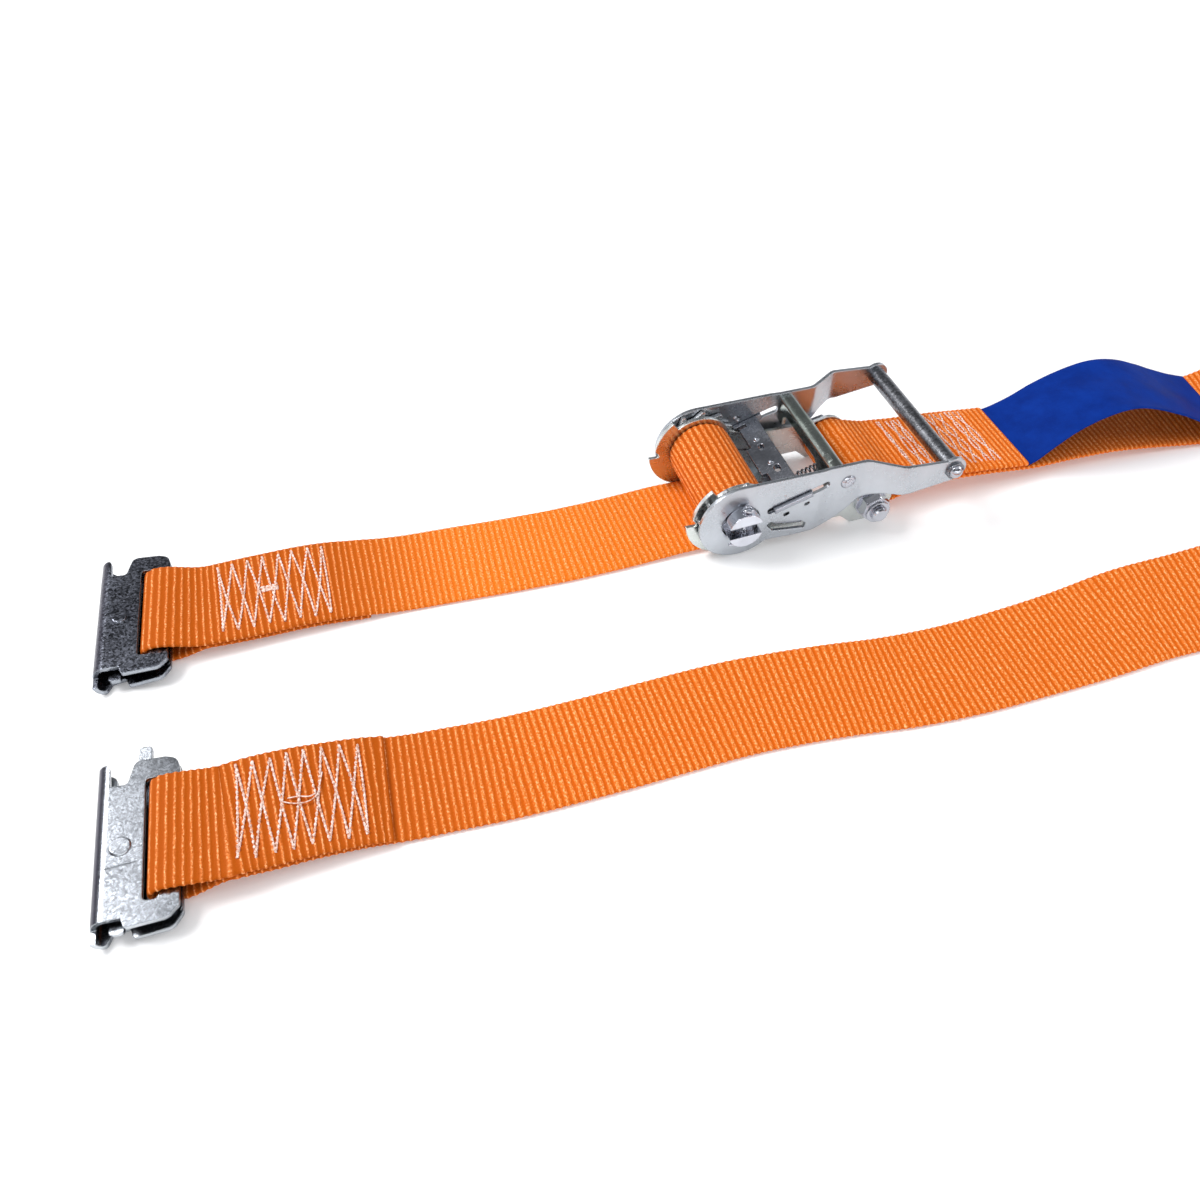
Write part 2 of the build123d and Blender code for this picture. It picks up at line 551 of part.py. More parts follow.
def fitting_latch(k):
    """Lever inside the shell: tongue at one end, thumb tab at the other."""
    end = 34.4 if k == 1 else 43.2
    f = rounded([
        (6.6, -34.6), (11.6, -34.6), (12.2, -28.0), (15.6, -12.0), (16.2, 10.0), (15.6, 27.4), (19.6, 29.4),
        (20.0, end), (15.0, end + 0.2), (14.6, 32.0), (12.4, 23.0), (5.4, 10.0), (5.4, -12.0), (6.4, -26.0)],
        [1.4, 1.4, 2, 4, 4, 1.0, 1.5, 1.8, 1.8, 0 if k == 1 else 3, 4, 4, 4, 2])
    lever = up(f, 4.5, 6.5)
    lever -= lean(up(disc(2.06, 10.5, -2.2), -2, 20))
    return lever


def fitting_spring():
    """Torsion spring round the rivet, above the lever."""
    s = up(disc(3.3, 10.5, -2.2) - disc(2.4, 10.5, -2.2), 7.0, 8.2)
    s += Pos(7.4, -8.0, 7.6) * Rot(90, 0, 0) * Cylinder(0.4, 11.0)
    return s


def fitting_loop(k):
    """Webbing sewn round the fitting's bar, up to the crease beside it."""
    if k == 1:
        outer = [
            (20.9, 2.0), (20.3, 6.5), (20.3, 8.8), (21.6, 11.2), (24.5, 12.4), (28.0, 12.35), (31.8, 11.9), (38.0, 10.1), (43.0, 8.75),
            (LOOP_END, 8.4), (LOOP_END, 3.6), (42.0, 2.3), (37.0, 0.8), (32.0, 0.0), (23.5, 0.0)]
        inner = [
            (24.0, 2.42), (23.2, 3.6), (22.8, 6.5), (22.8, 8.8), (24.1, 10.0), (31.6, 9.55), (37.4, 7.75), (42.3, 6.4), (44.5, 5.75),
            (41.2, 4.6), (36.3, 3.1), (31.9, 2.42)]
    else:
        outer = [
            (20.9, 2.0), (20.3, 6.5), (20.3, 9.0), (21.6, 11.4), (24.5, 12.7), (28.0, 12.8), (31.8, 12.6), (38.0, 11.8), (43.0, 11.1),
            (LOOP_END, 10.8), (LOOP_END, 6.0), (42.0, 4.1), (37.0, 1.6), (33.0, 0.3), (31.5, 0.0), (23.5, 0.0)]
        inner = [
            (24.0, 2.42), (23.2, 3.6), (22.8, 6.5), (22.8, 8.8), (24.0, 10.0), (28.0, 10.4), (31.8, 10.2), (37.6, 9.4), (42.4, 8.7), (44.5, 8.4),
            (41.0, 6.4), (36.0, 3.9), (32.0, 2.42)]
    ring = make_face(Polyline(*outer, close=True)) - make_face(Polyline(*inner, close=True))
    return Pos(0, SLOT_B[k], 0) * across(ring, -HW, HW)


for k in (1, 2):
    put("fitting_%d_shell" % k, fit_place(k, fitting_shell(k)))
    put("fitting_%d_rivet" % k, fit_place(k, fitting_rivet(k)))
    put("fitting_%d_latch" % k, fit_place(k, fitting_latch(k)))
    put("fitting_%d_spring" % k, fit_place(k, fitting_spring()))
    put("fitting_%d_strap_loop" % k, fit_place(k, fitting_loop(k)))


def run_start(k):
    """First row of the strap run beside the loop's end, in the layout."""
    x, y, z = fit_point(k, LOOP_END + 1.2, SLOT_B[k], PAIR_Z[k] + WEB_T)
    low = z - math.sin(math.radians(ROLL[k])) * HW - math.cos(math.radians(ROLL[k])) * WEB_T
    return (x, y, low, 2 * WEB_T, ROLL[k])


# ------------------------------------------------------------- straps
T1, T2 = WEB_T, 2 * WEB_T
adj = [
    run_start(1), (-234.5, 5.1, 3.0, T2, 0.8), (-226, 5.35, 2.4, T2, 1.6), (-216, 5.5, 1.95, T2, 2.0), (-200, 5.5, 1.75, T2, 2.0),
    (-187, 5.4, 0.85, T2, 1.8), (-178, 5.1, 0.1, T2, 1.0), (-170, 4.9, 1.2, T1, 0.7), (-160, 4.5, 0.4, T1, 0.4), (-148, 3.9, 0, T1, 0),
    (-108, 1.2, 0, T1, 0), (-79, -0.4, 0, T1, 0), (-50, -0.6, 0, T1, 0),
    (-34, -0.1, 0.5, T1, 0), (-24.5, 0, 0.9, T1, 0), (-2.0, 0, 0.9, T1, 0)]
put("adjustable_strap", ribbon(rings_of(smooth(adj, 2), head0=math.radians(FIT1[2]), head1=0.0)))

low_run = [
    run_start(2), (-235, -112.9, 5.3, T2, 3.8), (-227, -112.5, 4.35, T2, 5.0), (-215, -112.1, 3.7, T2, 4.4), (-205, -111.9, 2.7, T2, 3.5),
    (-195, -111.9, 1.6, T2, 2.8), (-186, -112.3, 0.4, T2, 2.0), (-180, -112.9, 0.3, T1, 1.8), (-172, -113.5, 0.15, T1, 1.2),
    (-158, -114.2, 0, T1, 0.5), (-133, -115.6, 0, T1, 0), (-96, -116.0, 0, T1, 0),
    (-43, -115.8, 0, T1, 0), (-17, -117.2, 0, T1, 0), (10, -120.0, 0, T1, 0), (36, -123.8, 0, T1, 0),
    (64, -126.0, 0, T1, 0), (93, -126.5, 0, T1, 1.0), (124, -126.4, 0, T1, 4.5), (156, -125.2, 0, T1, 10.0),
    (190, -126.0, 0, T1, 13.0)]
turn = [
    (190, -126.0, 0, T1, 13.0), (226, -126.6, 0, T1, 18.0), (262, -126.8, 0, T1, 26.0), (300, -125.6, 0, T1, 38.0),
    (340, -121.0, 0, T1, 54.0), (378, -106.5, 0, T1, 72.0), (396, -84.0, 0, T1, 84.0), (400, -62.0, 0, T1, 90.0),
    (394, -41.0, 0, T1, 97.0), (374, -22.5, 0, T1, 111.0), (346, -14.0, 0, T1, 131.0), (314, -10.4, 0, T1, 152.0),
    (283, -8.0, 0, T1, 168.0)]
up_run = [
    (283, -8.0, 0, T1, 168.0), (262, -5.4, 0.3, T1, 175.0), (240, -2.8, 1.2, T1, 180.0), (215, -0.7, 2.4, T1, 180.0),
    (190, 0, 3.2, T1, 180.0), (168, 0, 4.0, T1, 180.0)]
full = smooth(low_run + turn[1:] + up_run[1:], 3)
i1 = 3 * (len(low_run) - 1)
i2 = i1 + 3 * (len(turn) - 1)
rings = rings_of(full, head0=math.radians(FIT2[2]), head1=math.pi)
put("fixed_strap_lower", ribbon(rings[:i1 + 1]))
put("fixed_strap_turn", ribbon(rings[i1:i2 + 1]))
put("fixed_strap_upper", ribbon(rings[i2:]))

# sewn loop round the spacer, then two layers to the cut end of the fold
top_line = [(84.0, 19.7), (95.0, 17.3), (109.0, 15.6), (124.0, 14.6), (143.0, 12.4), (156.0, 10.6), (168.0, 8.8)]
bot_line = [(168.0, 4.0), (156.0, 5.8), (143.0, 7.6), (124.0, 9.7), (109.0, 10.4), (98.0, 9.8), (86.0, 5.6)]
arc_pts = [(BOLT_X + 11.7 * math.cos(math.radians(a)), BOLT_Z + 11.7 * math.sin(math.radians(a))) for a in range(-62, -311, -14)]
out_pts = top_line + bot_line + arc_pts
hole_arc = [(BOLT_X + 7.1 * math.cos(math.radians(a)), BOLT_Z + 7.1 * math.sin(math.radians(a))) for a in range(-52, -303, -12)]
hole_pts = [(88.0, 12.7)] + hole_arc
end_face = make_face(Polyline(*out_pts, close=True)) - make_face(Polyline(*hole_pts, close=True))
put("fixed_strap_ratchet_end", across(end_face, -HW, HW))

# sewn-in label, a thin coated sheet that arches up off the strap
lab = smooth([
    (168.2, 0, 6.6, 0.6, 0), (172, 0, 8.8, 0.6, 0), (184, 0, 17.4, 0.6, 0), (200, 0, 25.2, 0.6, 0),
    (217, -0.6, 28.2, 0.6, 0), (234, -2.4, 26.6, 0.6, 1), (249, -4.6, 20.6, 0.6, 3), (262, -6.4, 13.6, 0.6, 5),
    (273, -7.6, 7.8, 0.6, 8), (283, -8.6, 3.6, 0.6, 12)], 3)
put("strap_label", ribbon(rings_of(lab, 47.0, head0=0.0)))

# ------------------------------------------------------------- write
if __name__ == "__main__":
    lo = [1e9] * 3
    hi = [-1e9] * 3
    for name, shape in nodes.items():
        moved = Pos(SHIFT_X, SHIFT_Y, 0) * shape
        bb = moved.bounding_box()
        lo = [min(a, b) for a, b in zip(lo, (bb.min.X, bb.min.Y, bb.min.Z))]
        hi = [max(a, b) for a, b in zip(hi, (bb.max.X, bb.max.Y, bb.max.Z))]
        export_step(moved, "parts/%s.step" % name)
    print("nodes", len(nodes))
    print("low", [round(v, 3) for v in lo], "high", [round(v, 3) for v in hi])
    print("centre", [round((a + b) / 2, 3) for a, b in zip(lo, hi)])
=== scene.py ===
import json
import math
import random

import bpy
import bmesh
import numpy as np
from mathutils import Matrix, Vector


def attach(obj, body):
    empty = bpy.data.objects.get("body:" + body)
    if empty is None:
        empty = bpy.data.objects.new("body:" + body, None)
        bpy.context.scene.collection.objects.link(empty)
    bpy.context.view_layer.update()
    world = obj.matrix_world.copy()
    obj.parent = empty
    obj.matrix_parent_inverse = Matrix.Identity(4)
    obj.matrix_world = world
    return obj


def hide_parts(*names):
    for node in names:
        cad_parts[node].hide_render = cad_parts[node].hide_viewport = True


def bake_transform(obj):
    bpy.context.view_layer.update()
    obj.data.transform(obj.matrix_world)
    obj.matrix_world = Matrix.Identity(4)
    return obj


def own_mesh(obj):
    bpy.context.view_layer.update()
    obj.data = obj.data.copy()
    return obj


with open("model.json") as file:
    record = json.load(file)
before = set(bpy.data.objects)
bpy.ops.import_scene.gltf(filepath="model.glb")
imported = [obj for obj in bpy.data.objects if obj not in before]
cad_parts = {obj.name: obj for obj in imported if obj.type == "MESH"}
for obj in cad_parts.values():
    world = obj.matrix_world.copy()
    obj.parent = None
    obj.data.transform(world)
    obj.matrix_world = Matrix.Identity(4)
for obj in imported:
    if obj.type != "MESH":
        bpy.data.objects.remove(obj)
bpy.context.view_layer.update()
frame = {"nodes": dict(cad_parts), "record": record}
NODES = frame["nodes"]
random.seed(7)
rng = np.random.default_rng(7)

# layout of the CAD script, in mm: the mandrel axis is at (0, 0, 21)
SX, SY = -54.548, 54.181
RIB = 3.0            # rib pitch of the webbing
HW = 24.5
T = 2.4
FIT = {1: (-289.4, 8.0, -4.0), 2: (-290.4, -110.5, -3.8)}
ROLL = {1: 0.0, 2: 2.2}
ROLL_B = -36.6
SLOT_B = {1: 0.4, 2: 0.6}


def W(p):
    """Layout millimetres to the frame's metres."""
    return ((p[0] + SX) / 1000.0, (p[1] + SY) / 1000.0, p[2] / 1000.0)


# ------------------------------------------------------------------ materials
class Mat:
    """Small helper that builds one node material."""

    def __init__(self, name):
        self.m = bpy.data.materials.new(name)
        self.m.use_nodes = True
        self.nt = self.m.node_tree
        self.nt.nodes.clear()
        self.out = self.nt.nodes.new("ShaderNodeOutputMaterial")
        self.b = self.nt.nodes.new("ShaderNodeBsdfPrincipled")
        self.nt.links.new(self.b.outputs[0], self.out.inputs[0])

    def n(self, kind, **props):
        node = self.nt.nodes.new(kind)
        for k, v in props.items():
            if k == "ins":
                for key, val in v.items():
                    node.inputs[key].default_value = val
            else:
                setattr(node, k, v)
        return node

    def l(self, a, b):
        self.nt.links.new(a, b)

    def math(self, op, a, b=None, c=None, clamp=False):
        node = self.nt.nodes.new("ShaderNodeMath")
        node.operation = op
        node.use_clamp = clamp
        for i, v in enumerate((a, b, c)):
            if v is None:
                continue
            if isinstance(v, (int, float)):
                node.inputs[i].default_value = v
            else:
                self.l(v, node.inputs[i])
        return node.outputs[0]

    def ramp(self, fac, stops, mode="LINEAR"):
        node = self.nt.nodes.new("ShaderNodeValToRGB")
        cr = node.color_ramp
        cr.interpolation = mode
        while len(cr.elements) > 1:
            cr.elements.remove(cr.elements[-1])
        cr.elements[0].position = stops[0][0]
        cr.elements[0].color = (*stops[0][1], 1) if len(stops[0][1]) == 3 else stops[0][1]
        for pos, col in stops[1:]:
            e = cr.elements.new(pos)
            e.color = (*col, 1) if len(col) == 3 else col
        self.l(fac, node.inputs[0])
        return node.outputs[0]

    def mix(self, fac, a, b, blend="MIX"):
        node = self.nt.nodes.new("ShaderNodeMix")
        node.data_type = "RGBA"
        node.blend_type = blend
        for sock, v in ((node.inputs[0], fac), (node.inputs[6], a), (node.inputs[7], b)):
            if isinstance(v, (int, float)):
                sock.default_value = v
            elif isinstance(v, tuple):
                sock.default_value = (*v, 1) if len(v) == 3 else v
            else:
                self.l(v, sock)
        return node.outputs[2]

    def noise(self, vec, scale, detail=3.0, rough=0.5, dist=0.0):
        node = self.nt.nodes.new("ShaderNodeTexNoise")
        node.inputs["Scale"].default_value = scale
        node.inputs["Detail"].default_value = detail
        node.inputs["Roughness"].default_value = rough
        node.inputs["Distortion"].default_value = dist
        self.l(vec, node.inputs["Vector"])
        return node.outputs["Fac"]

    def maprange(self, v, a, b, c, d, clamp=True):
        node = self.nt.nodes.new("ShaderNodeMapRange")
        node.clamp = clamp
        self.l(v, node.inputs[0])
        for i, x in enumerate((a, b, c, d)):
            node.inputs[i + 1].default_value = x
        return node.outputs[0]


def zinc(name, base, rough=(0.22, 0.40), speckle=0.0, grain=0.35, dirt=0.0, edge=0.45, tint=None, cell=620, spark=1.35, cloudy=0.80, bend=0.0, gs=700, wave=1.2, rim=None):
    """Zinc-plated pressed steel: soft clouding, fine pickle grain, edges brightened by a painted highlight."""
    m = Mat(name)
    tc = m.n("ShaderNodeTexCoord")
    obj = tc.outputs["Object"]
    cloud = m.noise(obj, 55, 4, 0.55)
    fine = m.noise(obj, gs, 3, 0.6)
    cells = m.n("ShaderNodeTexVoronoi", feature="F1")
    cells.inputs["Scale"].default_value = cell
    m.l(obj, cells.inputs["Vector"])
    cellv = m.n("ShaderNodeSeparateColor")
    m.l(cells.outputs["Color"], cellv.inputs[0])
    lo = tuple(c * cloudy for c in base)
    hi = tuple(min(1, c * 1.10) for c in base)
    col = m.mix(m.maprange(cloud, 0.32, 0.68, 0, 1), lo, hi)
    if tint:
        col = m.mix(m.maprange(m.noise(obj, 24, 2), 0.5, 0.72, 0, 0.55), col, tint)
    if speckle > 0:
        # painted glints: the bright cells of the speckle stand for facets catching the light; the dark cells are random
        # tone
        col = m.mix(m.maprange(cellv.outputs[0], 0.0, 1.0, 0.0, speckle), col, tuple(min(1, c * spark) for c in base))
        col = m.mix(m.maprange(cellv.outputs[1], 0.55, 1.0, 0.0, speckle), col, tuple(c * 0.42 for c in base))
    if dirt > 0:
        col = m.mix(m.maprange(m.noise(obj, 130, 5, 0.65), 0.56, 0.74, 0, dirt), col, tuple(c * 0.35 for c in base))
    if bend > 0:
        # painted shade: faces turned towards −x, along the outside of the fold, are mixed towards near black, a painted
        # dark reflection
        nsep = m.n("ShaderNodeSeparateXYZ")
        m.l(tc.outputs["Normal"], nsep.inputs[0])
        col = m.mix(m.maprange(nsep.outputs[0], -0.09, -0.50, 0, bend), col, (0.045, 0.040, 0.062))
        if rim:
            # painted reflection: faces turned towards −y, the cut edges along the front, are brightened towards the rim
            # colour
            col = m.mix(m.maprange(nsep.outputs[1], -0.55, -0.85, 0, 0.75), col, rim)
    # painted highlight: edges brighter, from the difference between a rounded and a flat normal
    bev = m.n("ShaderNodeBevel", samples=4)
    bev.inputs["Radius"].default_value = 0.0007
    geo = m.n("ShaderNodeNewGeometry")
    dot = m.n("ShaderNodeVectorMath", operation="DOT_PRODUCT")
    m.l(bev.outputs[0], dot.inputs[0])
    m.l(geo.outputs["Normal"], dot.inputs[1])
    worn = m.maprange(dot.outputs["Value"], 0.995, 0.80, 0, edge)
    col = m.mix(worn, col, rim or tuple(min(1, c * 1.25 + 0.05) for c in base))
    m.l(col, m.b.inputs["Base Color"])
    r = m.maprange(m.math("ADD", m.math("MULTIPLY", fine, 0.5), m.math("MULTIPLY", cloud, 0.5)), 0.36, 0.64, rough[0], rough[1])
    m.l(r, m.b.inputs["Roughness"])
    m.b.inputs["Metallic"].default_value = 1.0
    # fine drawn marks along the plate plus plating grain
    mp = m.n("ShaderNodeMapping")
    mp.inputs["Scale"].default_value = (90, 900, 900)
    m.l(obj, mp.inputs["Vector"])
    drawn = m.noise(mp.outputs[0], 1.0, 3, 0.6)
    h = m.math("ADD", m.math("MULTIPLY", drawn, 0.35), m.math("MULTIPLY", fine, grain))
    h = m.math("ADD", h, m.math("MULTIPLY", m.noise(obj, 90, 2), wave))
    bump = m.n("ShaderNodeBump")
    bump.inputs["Strength"].default_value = 0.28
    bump.inputs["Distance"].default_value = 0.00016
    m.l(h, bump.inputs["Height"])
    m.l(bev.outputs[0], bump.inputs["Normal"])
    m.l(bump.outputs[0], m.b.inputs["Normal"])
    return m.m


def webbing_material(name):
    """Ribbed polyester webbing; the UV map holds millimetres / 100 across and along."""
    m = Mat(name)
    uv = m.n("ShaderNodeUVMap", uv_map="web")
    sep = m.n("ShaderNodeSeparateXYZ")
    m.l(uv.outputs[0], sep.inputs[0])
    u = m.math("MULTIPLY", sep.outputs[0], 100.0)
    v = m.math("MULTIPLY", sep.outputs[1], 100.0)
    wob = m.noise(uv.outputs[0], 16, 3, 0.6)
    v2 = m.math("ADD", v, m.math("MULTIPLY", m.math("SUBTRACT", wob, 0.5), 0.9))
    # ribs across the webbing: 0 in the valleys, 1 on the crowns
    rib = m.math("SUBTRACT", 0.5, m.math("MULTIPLY", m.math("COSINE", m.math("MULTIPLY", v2, 2 * math.pi / RIB)), 0.5))
    # painted shade at the sewn ends: the colours there are darker and only a thin pale line is left of each crown
    end_a = m.maprange(v, 185, 250, 1.0, 0.0)
    end_b = m.math("MULTIPLY", m.maprange(v, 2990, 3000, 0.0, 1.0), m.maprange(v, 3175, 3250, 1.0, 0.0))
    sewn = m.math("MAXIMUM", end_a, end_b)
    thin = m.math("POWER", rib, 5.0)
    broad = m.maprange(rib, 0.12, 0.92, 0.0, 1.0)
    crown = m.math("ADD", m.math("MULTIPLY", thin, sewn), m.math("MULTIPLY", broad, m.math("SUBTRACT", 1.0, sewn)))
    # fine grain of the twill, stretched a little along the ribs
    com = m.n("ShaderNodeCombineXYZ")
    m.l(m.math("MULTIPLY", u, 1.1), com.inputs[0])
    m.l(m.math("MULTIPLY", v2, 1.6), com.inputs[1])
    grain = m.noise(com.outputs[0], 0.80, 2, 0.70)
    dots = m.n("ShaderNodeTexVoronoi", feature="F1")
    dots.inputs["Scale"].default_value = 0.80
    m.l(com.outputs[0], dots.inputs["Vector"])
    big = m.noise(uv.outputs[0], 5, 3)
    # painted shade: the fixed strap and, darker still, the roll on the mandrel get darker colours than the adjustable
    # strap
    fixed_part = m.maprange(v, 1000, 1001, 0.0, 1.0)
    roll_part = m.math("MULTIPLY", fixed_part, m.maprange(v, 2000, 2001, 1.0, 0.0))
    # painted light on the crowns and painted shade in the valleys: the colour is mixed from a light and a dark colour
    # by the crown mask
    deep = m.mix(fixed_part, (0.800, 0.170, 0.0090), (0.640, 0.110, 0.0030))
    lit = m.mix(fixed_part, (0.930, 0.275, 0.055), (0.900, 0.270, 0.055))
    deep = m.mix(roll_part, deep, (0.480, 0.078, 0.0022))
    lit = m.mix(roll_part, lit, (0.780, 0.215, 0.040))
    deep = m.mix(sewn, deep, (0.430, 0.080, 0.0026))
    lit = m.mix(sewn, lit, (0.840, 0.262, 0.076))
    lit = m.mix(m.maprange(big, 0.35, 0.65, 0, 0.5), lit, (0.88, 0.235, 0.040))
    tone = m.math("MULTIPLY", crown, m.maprange(grain, 0.30, 0.66, 0.40, 1.22))
    col = m.mix(m.math("MINIMUM", tone, 1.0), deep, lit)
    # painted shade where the grain is low, and painted highlight specks where the grain is high on the crowns
    col = m.mix(m.maprange(grain, 0.52, 0.36, 0, 0.42), col, (0.46, 0.075, 0.003))
    col = m.mix(m.math("MULTIPLY", m.maprange(grain, 0.52, 0.66, 0, 0.80), m.maprange(crown, 0.3, 0.8, 0, 1)), col, (1.0, 0.56, 0.27))
    m.l(col, m.b.inputs["Base Color"])
    m.b.inputs["Roughness"].default_value = 0.66
    m.b.inputs["Specular IOR Level"].default_value = 0.07
    m.b.inputs["Sheen Weight"].default_value = 0.02
    m.b.inputs["Sheen Roughness"].default_value = 0.45
    m.b.inputs["Sheen Tint"].default_value = (1.0, 0.62, 0.35, 1)
    h = m.math("ADD", m.math("MULTIPLY", crown, 0.55), m.math("MULTIPLY", grain, 0.75))
    h = m.math("ADD", h, m.math("MULTIPLY", m.math("SUBTRACT", 0.6, dots.outputs["Distance"]), 0.45))
    bump = m.n("ShaderNodeBump")
    bump.inputs["Strength"].default_value = 0.65
    bump.inputs["Distance"].default_value = 0.00030
    m.l(h, bump.inputs["Height"])
    m.l(bump.outputs[0], m.b.inputs["Normal"])
    return m.m


def label_material(name):
    """Coated blue cloth, plain, with faint weave and soft creasing."""
    m = Mat(name)
    uv = m.n("ShaderNodeUVMap", uv_map="web")
    sep = m.n("ShaderNodeSeparateXYZ")
    m.l(uv.outputs[0], sep.inputs[0])
    u = m.math("MULTIPLY", sep.outputs[0], 100.0)
    v = m.math("MULTIPLY", sep.outputs[1], 100.0)
    a = m.math("SINE", m.math("MULTIPLY", u, math.pi / 0.45))
    b = m.math("SINE", m.math("MULTIPLY", v, math.pi / 0.45))
    weave = m.math("MULTIPLY", a, b)
    cloud = m.noise(uv.outputs[0], 7, 4, 0.6)
    fine = m.noise(uv.outputs[0], 120, 3, 0.6)
    col = m.mix(m.maprange(cloud, 0.34, 0.66, 0, 1), (0.0016, 0.021, 0.195), (0.0034, 0.033, 0.270))
    col = m.mix(m.maprange(fine, 0.5, 0.75, 0, 0.20), col, (0.006, 0.048, 0.34))
    m.l(col, m.b.inputs["Base Color"])
    r = m.maprange(m.math("ADD", m.math("MULTIPLY", cloud, 0.5), m.math("MULTIPLY", fine, 0.5)), 0.36, 0.64, 0.62, 0.80)
    m.l(r, m.b.inputs["Roughness"])
    m.b.inputs["Specular IOR Level"].default_value = 0.05
    h = m.math("ADD", m.math("MULTIPLY", weave, 0.06), m.math("MULTIPLY", m.noise(uv.outputs[0], 16, 4, 0.6), 1.0))
    bump = m.n("ShaderNodeBump")
    bump.inputs["Strength"].default_value = 0.30
    bump.inputs["Distance"].default_value = 0.0006
    m.l(h, bump.inputs["Height"])
    m.l(bump.outputs[0], m.b.inputs["Normal"])
    return m.m


def thread_material(name):
    m = Mat(name)
    tc = m.n("ShaderNodeTexCoord")
    n1 = m.noise(tc.outputs["Object"], 900, 2, 0.6)
    col = m.mix(m.maprange(n1, 0.36, 0.60, 0, 1), (0.56, 0.25, 0.14), (0.93, 0.76, 0.70))
    m.l(col, m.b.inputs["Base Color"])
    m.b.inputs["Roughness"].default_value = 0.6
    m.b.inputs["Sheen Weight"].default_value = 0.3
    bump = m.n("ShaderNodeBump")
    bump.inputs["Strength"].default_value = 0.4
    bump.inputs["Distance"].default_value = 0.0001
    m.l(m.noise(tc.outputs["Object"], 2500, 1), bump.inputs["Height"])
    m.l(bump.outputs[0], m.b.inputs["Normal"])
    return m.m


def floor_material(name):
    m = Mat(name)
    tc = m.n("ShaderNodeTexCoord")
    n1 = m.noise(tc.outputs["Object"], 1.4, 3)
    col = m.mix(m.maprange(n1, 0.3, 0.7, 0, 1), (0.90, 0.90, 0.90), (0.92, 0.92, 0.92))
    m.l(col, m.b.inputs["Base Color"])
    m.b.inputs["Roughness"].default_value = 0.75
    m.b.inputs["Specular IOR Level"].default_value = 0.2
    m.b.inputs["Emission Color"].default_value = (1.0, 1.0, 1.0, 1)
    m.b.inputs["Emission Strength"].default_value = 0.14
    return m.m


MATS = {
    "frame_zinc": zinc("frame_zinc_plate", (0.66, 0.68, 0.67), (0.22, 0.38), tint=(0.56, 0.62, 0.56), cloudy=0.88),
    "handle_zinc": zinc("handle_zinc_plate", (0.475, 0.500, 0.535), (0.24, 0.36), dirt=0.03, cloudy=0.93),
    "bar_zinc": zinc("bar_zinc_plate", (0.44, 0.48, 0.45), (0.16, 0.28), tint=(0.34, 0.40, 0.35)),
    "wheel_zinc": zinc("wheel_zinc_plate", (0.52, 0.53, 0.55), (0.18, 0.32)),
    "pawl_zinc": zinc("pawl_zinc_plate", (0.36, 0.375, 0.42), (0.18, 0.32), speckle=0.06),
    "grip_zinc": zinc("grip_zinc_plate", (0.17, 0.175, 0.19), (0.22, 0.40), speckle=0.55, grain=1.2, cell=900, spark=2.4),
    "mandrel_zinc": zinc("mandrel_zinc_plate", (0.62, 0.63, 0.69), (0.07, 0.15)),
    "fastener_zinc": zinc("fastener_zinc_plate", (0.52, 0.53, 0.58), (0.08, 0.18)),
    "spring_steel": zinc("spring_wire", (0.15, 0.155, 0.17), (0.22, 0.34)),
    # fitting_dark_zinc and fitting_bright_zinc are dark and bright copies of the same plated steel: the dark copy on
    # fitting 1 is painted shade, the bright copy on fitting 2 painted light
    "fitting_dark_zinc": zinc("fitting_dark_zinc", (0.052, 0.055, 0.066), (0.20, 0.32), speckle=0.95, grain=0.6, dirt=0.0, edge=0.75, cell=1250, spark=6.5, bend=0.80, gs=900, wave=0.4, rim=(0.40, 0.43, 0.47)),
    "fitting_bright_zinc": zinc("fitting_bright_zinc", (0.270, 0.285, 0.310), (0.17, 0.26), speckle=0.62, grain=0.30, dirt=0.0, edge=0.6, cell=1250, spark=2.0, bend=0.9, cloudy=0.60, gs=900, wave=0.25, rim=(0.62, 0.65, 0.68)),
}
WEB = webbing_material("orange_webbing")
LABEL = label_material("label_blue_cloth")
THREAD = thread_material("stitch_thread")

for row in frame["record"]["subparts"]:
    o = NODES[row["node"]]
    mat = MATS.get(row["material_slot"])
    if mat is not None:
        for i in range(len(o.material_slots)):
            o.material_slots[i].material = mat


# ------------------------------------------------------------------ curves
def catmull(rows, per):
    rows = [np.array(r, float) for r in rows]
    out = []
    n = len(rows)
    for i in range(n - 1):
        p1, p2 = rows[i], rows[i + 1]
        p0 = rows[i - 1] if i else 2 * p1 - p2
        p3 = rows[i + 2] if i + 2 < n else 2 * p2 - p1
        for k in range(per):
            t = k / per
            out.append(0.5 * (2 * p1 + (p2 - p0) * t + (2 * p0 - 5 * p1 + 4 * p2 - p3) * t * t + (3 * p1 - p0 - 3 * p2 + p3) * t ** 3))
    out.append(rows[-1])
    return np.array(out)


def resample(pts, step):
    """Rows (x, y, z, extra...) spaced evenly by the length of x, y, z."""
    d = np.linalg.norm(np.diff(pts[:, :3], axis=0), axis=1)
    s = np.concatenate([[0], np.cumsum(d)])
    n = max(4, int(round(s[-1] / step)))
    q = np.linspace(0, s[-1], n + 1)
    return np.stack([np.interp(q, s, pts[:, k]) for k in range(pts.shape[1])], 1), q, s[-1]


def new_mesh(name, verts, faces, mat, uvs=None, smooth=True):
    me = bpy.data.meshes.new(name)
    me.from_pydata([tuple(v) for v in verts], [], faces)
    me.update()
    if uvs is not None:
        layer = me.uv_layers.new(name="web")
        loops = np.zeros(len(me.loops), dtype=np.int32)
        me.loops.foreach_get("vertex_index", loops)
        layer.data.foreach_set("uv", np.array(uvs, np.float32)[loops].ravel())
    o = bpy.data.objects.new(name, me)
    bpy.context.scene.collection.objects.link(o)
    me.materials.append(mat)
    if smooth:
        me.polygons.foreach_set("use_smooth", [True] * len(me.polygons))
    return o


